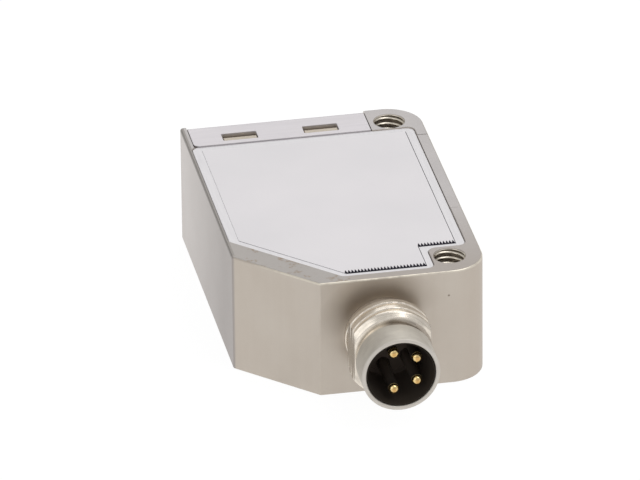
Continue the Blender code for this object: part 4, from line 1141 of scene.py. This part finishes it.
def buildShell(shape, around=180):
    # closed profile (r, h) turned about the plug's axis, with r = root + depth * rib(a, h) in the thread; two
    # side flats are cut last
    reach, tail, lip, turn = -shellLow[1], -shellHigh[1], shape["lip"], shape["shoulderTurn"]
    mouth, collar, neck = shape["mouth"], shape["collar"], shape["neck"]
    shoulder, shank, shankEnd = shape["shoulder"], shape["shank"], -shape["shoulderEnd"]
    collarStart = reach - shape["collarLength"]
    neckStart = collarStart - shape["neckLength"]
    threadStart = neckStart - shape["turns"] * shape["pitch"]
    shankReach = threadStart - shape["relief"]
    sealLow, sealHigh = boxOf("connector_seal")
    sealNear, sealFar = shape["sealGap"] - sealLow[1], -shape["sealGap"] - sealHigh[1]
    threadRows = np.linspace(neckStart, threadStart, 32 * shape["turns"] + 1)
    halfWall = (collar - mouth) / 2
    lipArc = np.linspace(math.pi, 0, 13)
    profile = [
        (mouth + halfWall * (1 + np.cos(lipArc)), reach - lip + lip * np.sin(lipArc)),
        ([collar, collar], [reach - shape["lipReach"], collarStart + shape["collarFoot"]]),
        ([collar - shape["collarTurn"], neck, neck],
         [collarStart, collarStart - shape["neckTurn"], neckStart + shape["neckEnd"]]),
        (np.full(len(threadRows), shape["root"]), threadRows),
        ([neck, neck, shoulder - turn, shoulder, shoulder, shank],
         [threadStart - shape["neckTurn"], shankReach + 0.01, shankReach, shankReach - turn,
          shankEnd, shankEnd]),
        ([shank, shank - shape["sealDepth"], shank - shape["sealDepth"], shank],
         [sealNear, sealNear, sealFar, sealFar]),
        ([shank, mouth], [tail, tail]),
    ]
    radius = np.concatenate([part[0] for part in profile])[:, None]
    along = np.concatenate([part[1] for part in profile])
    angle = np.linspace(0, 2 * math.pi, around, endpoint=False)[None]
    first = sum(len(part[0]) for part in profile[:3])
    rows = np.arange(len(along))
    inThread = ((rows >= first) & (rows < first + len(threadRows)))[:, None]
    rib = threadRib(along[:, None], angle, threadStart, neckStart, shape)
    radius = radius + np.where(inThread, (shape["crest"] - shape["root"]) * rib, 0)
    shell = turnedPiece("plug_shell", radius, along, plugCentre, around=around, closed=True)
    sides = []
    for side in (-1, 1):
        near, far = sorted((side * shape["flat"], side * (shape["crest"] + beyond)))
        low = (plugCentre[0] + near, -(neckStart + shape["neckLength"] / 2), -beyond)
        high = (plugCentre[0] + far, -(shankReach + shape["relief"] / 2), height + beyond)
        sides.append(flatBox("flat_cut", low, high))
    combine(shell, "DIFFERENCE", *sides)
    fit(shell, plugMetal, "case", "connector_shell", slot="plug_metal", sharp=40)


insertShape = {
    "linerWall": 0.1,
    "linerRecess": 0.12,
    "round": 0.05,
    "ringWidth": 0.35,
    "ringRise": 0.06,
    "floorRound": 0.1,
    "pinRoom": 0.47,
    "pinRoomDepth": 0.2,
    "pinMouth": 0.6,
    "pinMouthDepth": 0.07,
}


def buildInsert(shape):
    # a deep cup: (r, h) runs from its back over the liner's edge and down to the face, with a small step
    low, high = boxOf("connector_insert")
    outer, curve = (high[0] - low[0]) / 2, shape["round"]
    face, back, rim = -low[1], -high[1], -shellLow[1] - shape["linerRecess"]
    inner = outer - shape["linerWall"]
    ring, rise = inner - shape["ringWidth"], face + shape["ringRise"]
    radius = [0, outer, outer, outer - curve, inner + curve / 2, inner, inner, inner - curve, ring,
              ring - curve, 0]
    floor = face + shape["floorRound"]
    along = [back, back, rim - curve, rim, rim, rim - curve, floor, rise, rise, face, face]
    insert = turnedPiece("plug_insert", radius, along, plugCentre)
    room, mouth = shape["pinRoom"], shape["pinMouth"]
    reach = [back - beyond, back - beyond, face - shape["pinRoomDepth"], face - shape["pinMouthDepth"],
             rim + beyond, rim + beyond]
    bores = [turnedPiece("contact_room", [0, room, room, mouth, mouth, 0], reach, centre, around=40)
             for centre in pinCentres]
    combine(insert, "DIFFERENCE", *bores)
    fit(insert, insertResin, "case", "connector_insert", slot="black_plastic")


pinShape = {"tip": 0.9, "sideLength": 0.3, "tailTaper": 0.05, "tailRise": 0.06}


def buildPin(number, shape):
    # the tip is a half ellipse, r = R cos a and h = top + tip R sin a, on a straight shank with a short taper
    low, high = pinBoxes[number - 1]
    radius = (high[0] - low[0]) / 2
    tail = -high[1]
    rise = shape["tip"] * radius
    shoulder = -low[1] - rise
    arc = np.linspace(0, math.pi / 2, 12)
    across = [0, radius - shape["tailTaper"], radius, radius, *(radius * np.cos(arc))]
    along = [tail, tail, tail + shape["tailRise"], shoulder - shape["sideLength"],
             *(shoulder + rise * np.sin(arc))]
    pin = turnedPiece(f"plug_contact_{number}", across, along, pinCentres[number - 1], around=40)
    fit(pin, gold, "case", f"contact_pin_{number}", slot="gold")


print("round connector")
buildShell(plugShape)
buildInsert(insertShape)
for pinNumber in range(1, 5):
    buildPin(pinNumber, pinShape)


# Solids kept inside the case

keptSolids = [
    (blackRubber, "end_gasket", "window_gasket", "connector_seal"),
    (blackResin, "button_switch", "optics_holder", "lens_retainer", "receiver_chip"),
    (blackResin, "control_ic", "driver_ic"),
    (whiteResin, "switch_plunger", "emitter_led"),
    (boardMask, "display_board", "emitter_board", "receiver_board", "main_board", "connector_board"),
    (opticGlass, "beam_splitter", "objective_lens"),
    (amberFoil, "connector_flex", "optics_flex", "display_flex"),
    (ferrite, "filter_inductor"),
    (amberLamp, "operation_led"),
    (greenLamp, "stability_led"),
]
print("kept solids")
for material, *names in keptSolids:
    for name in names:
        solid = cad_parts[name]
        solid.data.materials.clear()
        solid.data.materials.append(material)


# Floor, light and camera

stageLook = {
    "floor": (0.93, 0.93, 0.93),
    "floorShade": 0.985,
    "floorSide": 1500.0,
    "floorDrop": -0.03,
    "floorGlow": 0.9,
    "glowStrength": 1.05,
    "ambient": 0.62,
    "key": {"place": (0.20, -0.12, 0.42), "size": 0.30, "power": 0.55},
    "fill": {"place": (-0.34, -0.30, 0.24), "size": 0.34, "power": 0.22},
    "back": {"place": (0.10, 0.40, 0.34), "size": 0.40, "power": 0.4},
}


def seenBy(maker, *rays):
    # 1 for the named kinds of ray, 0 for the rest
    return sum(maker.make("LightPath", output=f"Is {ray} Ray") for ray in rays).band(0, 1)


def buildFloor(look):
    # the floor glows white for the camera and can be looked through from below, so that the underside shows
    side, drop = look["floorSide"], look["floorDrop"]
    corners = np.array([(-side, -side, drop), (side, -side, drop), (side, side, drop), (-side, side, drop)])
    floor = meshPiece("floor", corners, [[0, 1, 2, 3]])
    material, maker, place, feed = newFinish("pale floor", {"Roughness": 0.9})
    shade = tuple(look["floorShade"] * part for part in look["floor"])
    feed(Base_Color=maker.colour(maker.noise(place, 30, 2).band(0.3, 0.7), look["floor"], shade))
    nodes = material.node_tree.nodes
    glow = maker.make("Emission", inputs={"Color": (1, 1, 1, 1), "Strength": look["glowStrength"]})
    shader = Socket(material.node_tree, nodes["Principled BSDF"].outputs[0])
    share = seenBy(maker, "Camera", "Glossy", "Transmission") * look["floorGlow"]
    upper = maker.make("MixShader", inputs={0: share, 1: shader, 2: glow})
    clear = maker.make("BsdfTransparent")
    below = maker.make("NewGeometry", output="Backfacing")
    seen = maker.make("MixShader", inputs={0: below, 1: upper, 2: clear})
    material.node_tree.links.new(seen.output, nodes["Material Output"].inputs["Surface"])
    floor.data.materials.append(material)
    floor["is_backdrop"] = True


def buildLight(look):
    # a white room, dimmer as a light than as a background, and three soft lamps that face the part
    world = bpy.data.worlds.new("studio")
    bpy.context.scene.world = world
    world.use_nodes = True
    maker = Socket(world.node_tree)
    strength = look["ambient"] + seenBy(maker, "Camera", "Transmission") * (1 - look["ambient"])
    background = world.node_tree.nodes["Background"]
    background.inputs["Color"].default_value = (1, 1, 1, 1)
    world.node_tree.links.new(strength.output, background.inputs["Strength"])
    for name in ("key", "fill", "back"):
        lamp = bpy.data.lights.new(name, "AREA")
        lamp.size = look[name]["size"]
        lamp.energy = look[name]["power"]
        holder = bpy.data.objects.new(name, lamp)
        holder.location = look[name]["place"]
        holder.rotation_euler = holder.location.to_track_quat("Z", "Y").to_euler()
        bpy.context.scene.collection.objects.link(holder)


# the camera's axes, the place it aims at, its distance and slide in millimetres, its focal length in pixels
cameraFit = {
    "right": (0.98169501, -0.19023513, -0.00924693),
    "up": (0.09555477, 0.44994325, 0.88793038),
    "back": (-0.16475496, -0.87256041, 0.45988491),
    "aim": (10.0, 15.0, 5.0),
    "distance": 757.062,
    "slide": (-0.87807, 1.38031),
    "focalPixels": 8995.366,
    "imagePixels": 640,
    "sensor": 36,
}


def buildCamera(fitted):
    # place = aim + slide along right and up + distance along back, with the three axes as the camera's turn
    right, up, back = (np.array(fitted[key]) for key in ("right", "up", "back"))
    slide = fitted["slide"][0] * right + fitted["slide"][1] * up
    spot = (np.array(fitted["aim"]) + slide + fitted["distance"] * back) * mm + caseCorner
    camera = bpy.data.objects.new("camera", bpy.data.cameras.new("camera"))
    camera.data.lens = fitted["focalPixels"] / fitted["imagePixels"] * fitted["sensor"]
    camera.data.sensor_width = fitted["sensor"]
    camera.data.clip_start = 0.01
    matrix = np.eye(4)
    matrix[:3] = np.column_stack([right, up, back, spot])
    camera.matrix_world = Matrix(matrix.tolist())
    bpy.context.scene.collection.objects.link(camera)
    bpy.context.scene.camera = camera


print("stage")
buildFloor(stageLook)
buildLight(stageLook)
buildCamera(cameraFit)
bpy.context.scene.view_settings.view_transform = "Standard"

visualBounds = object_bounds()
{"cad": [list(corner) for corner in cadBounds], "visual": [list(corner) for corner in visualBounds]}
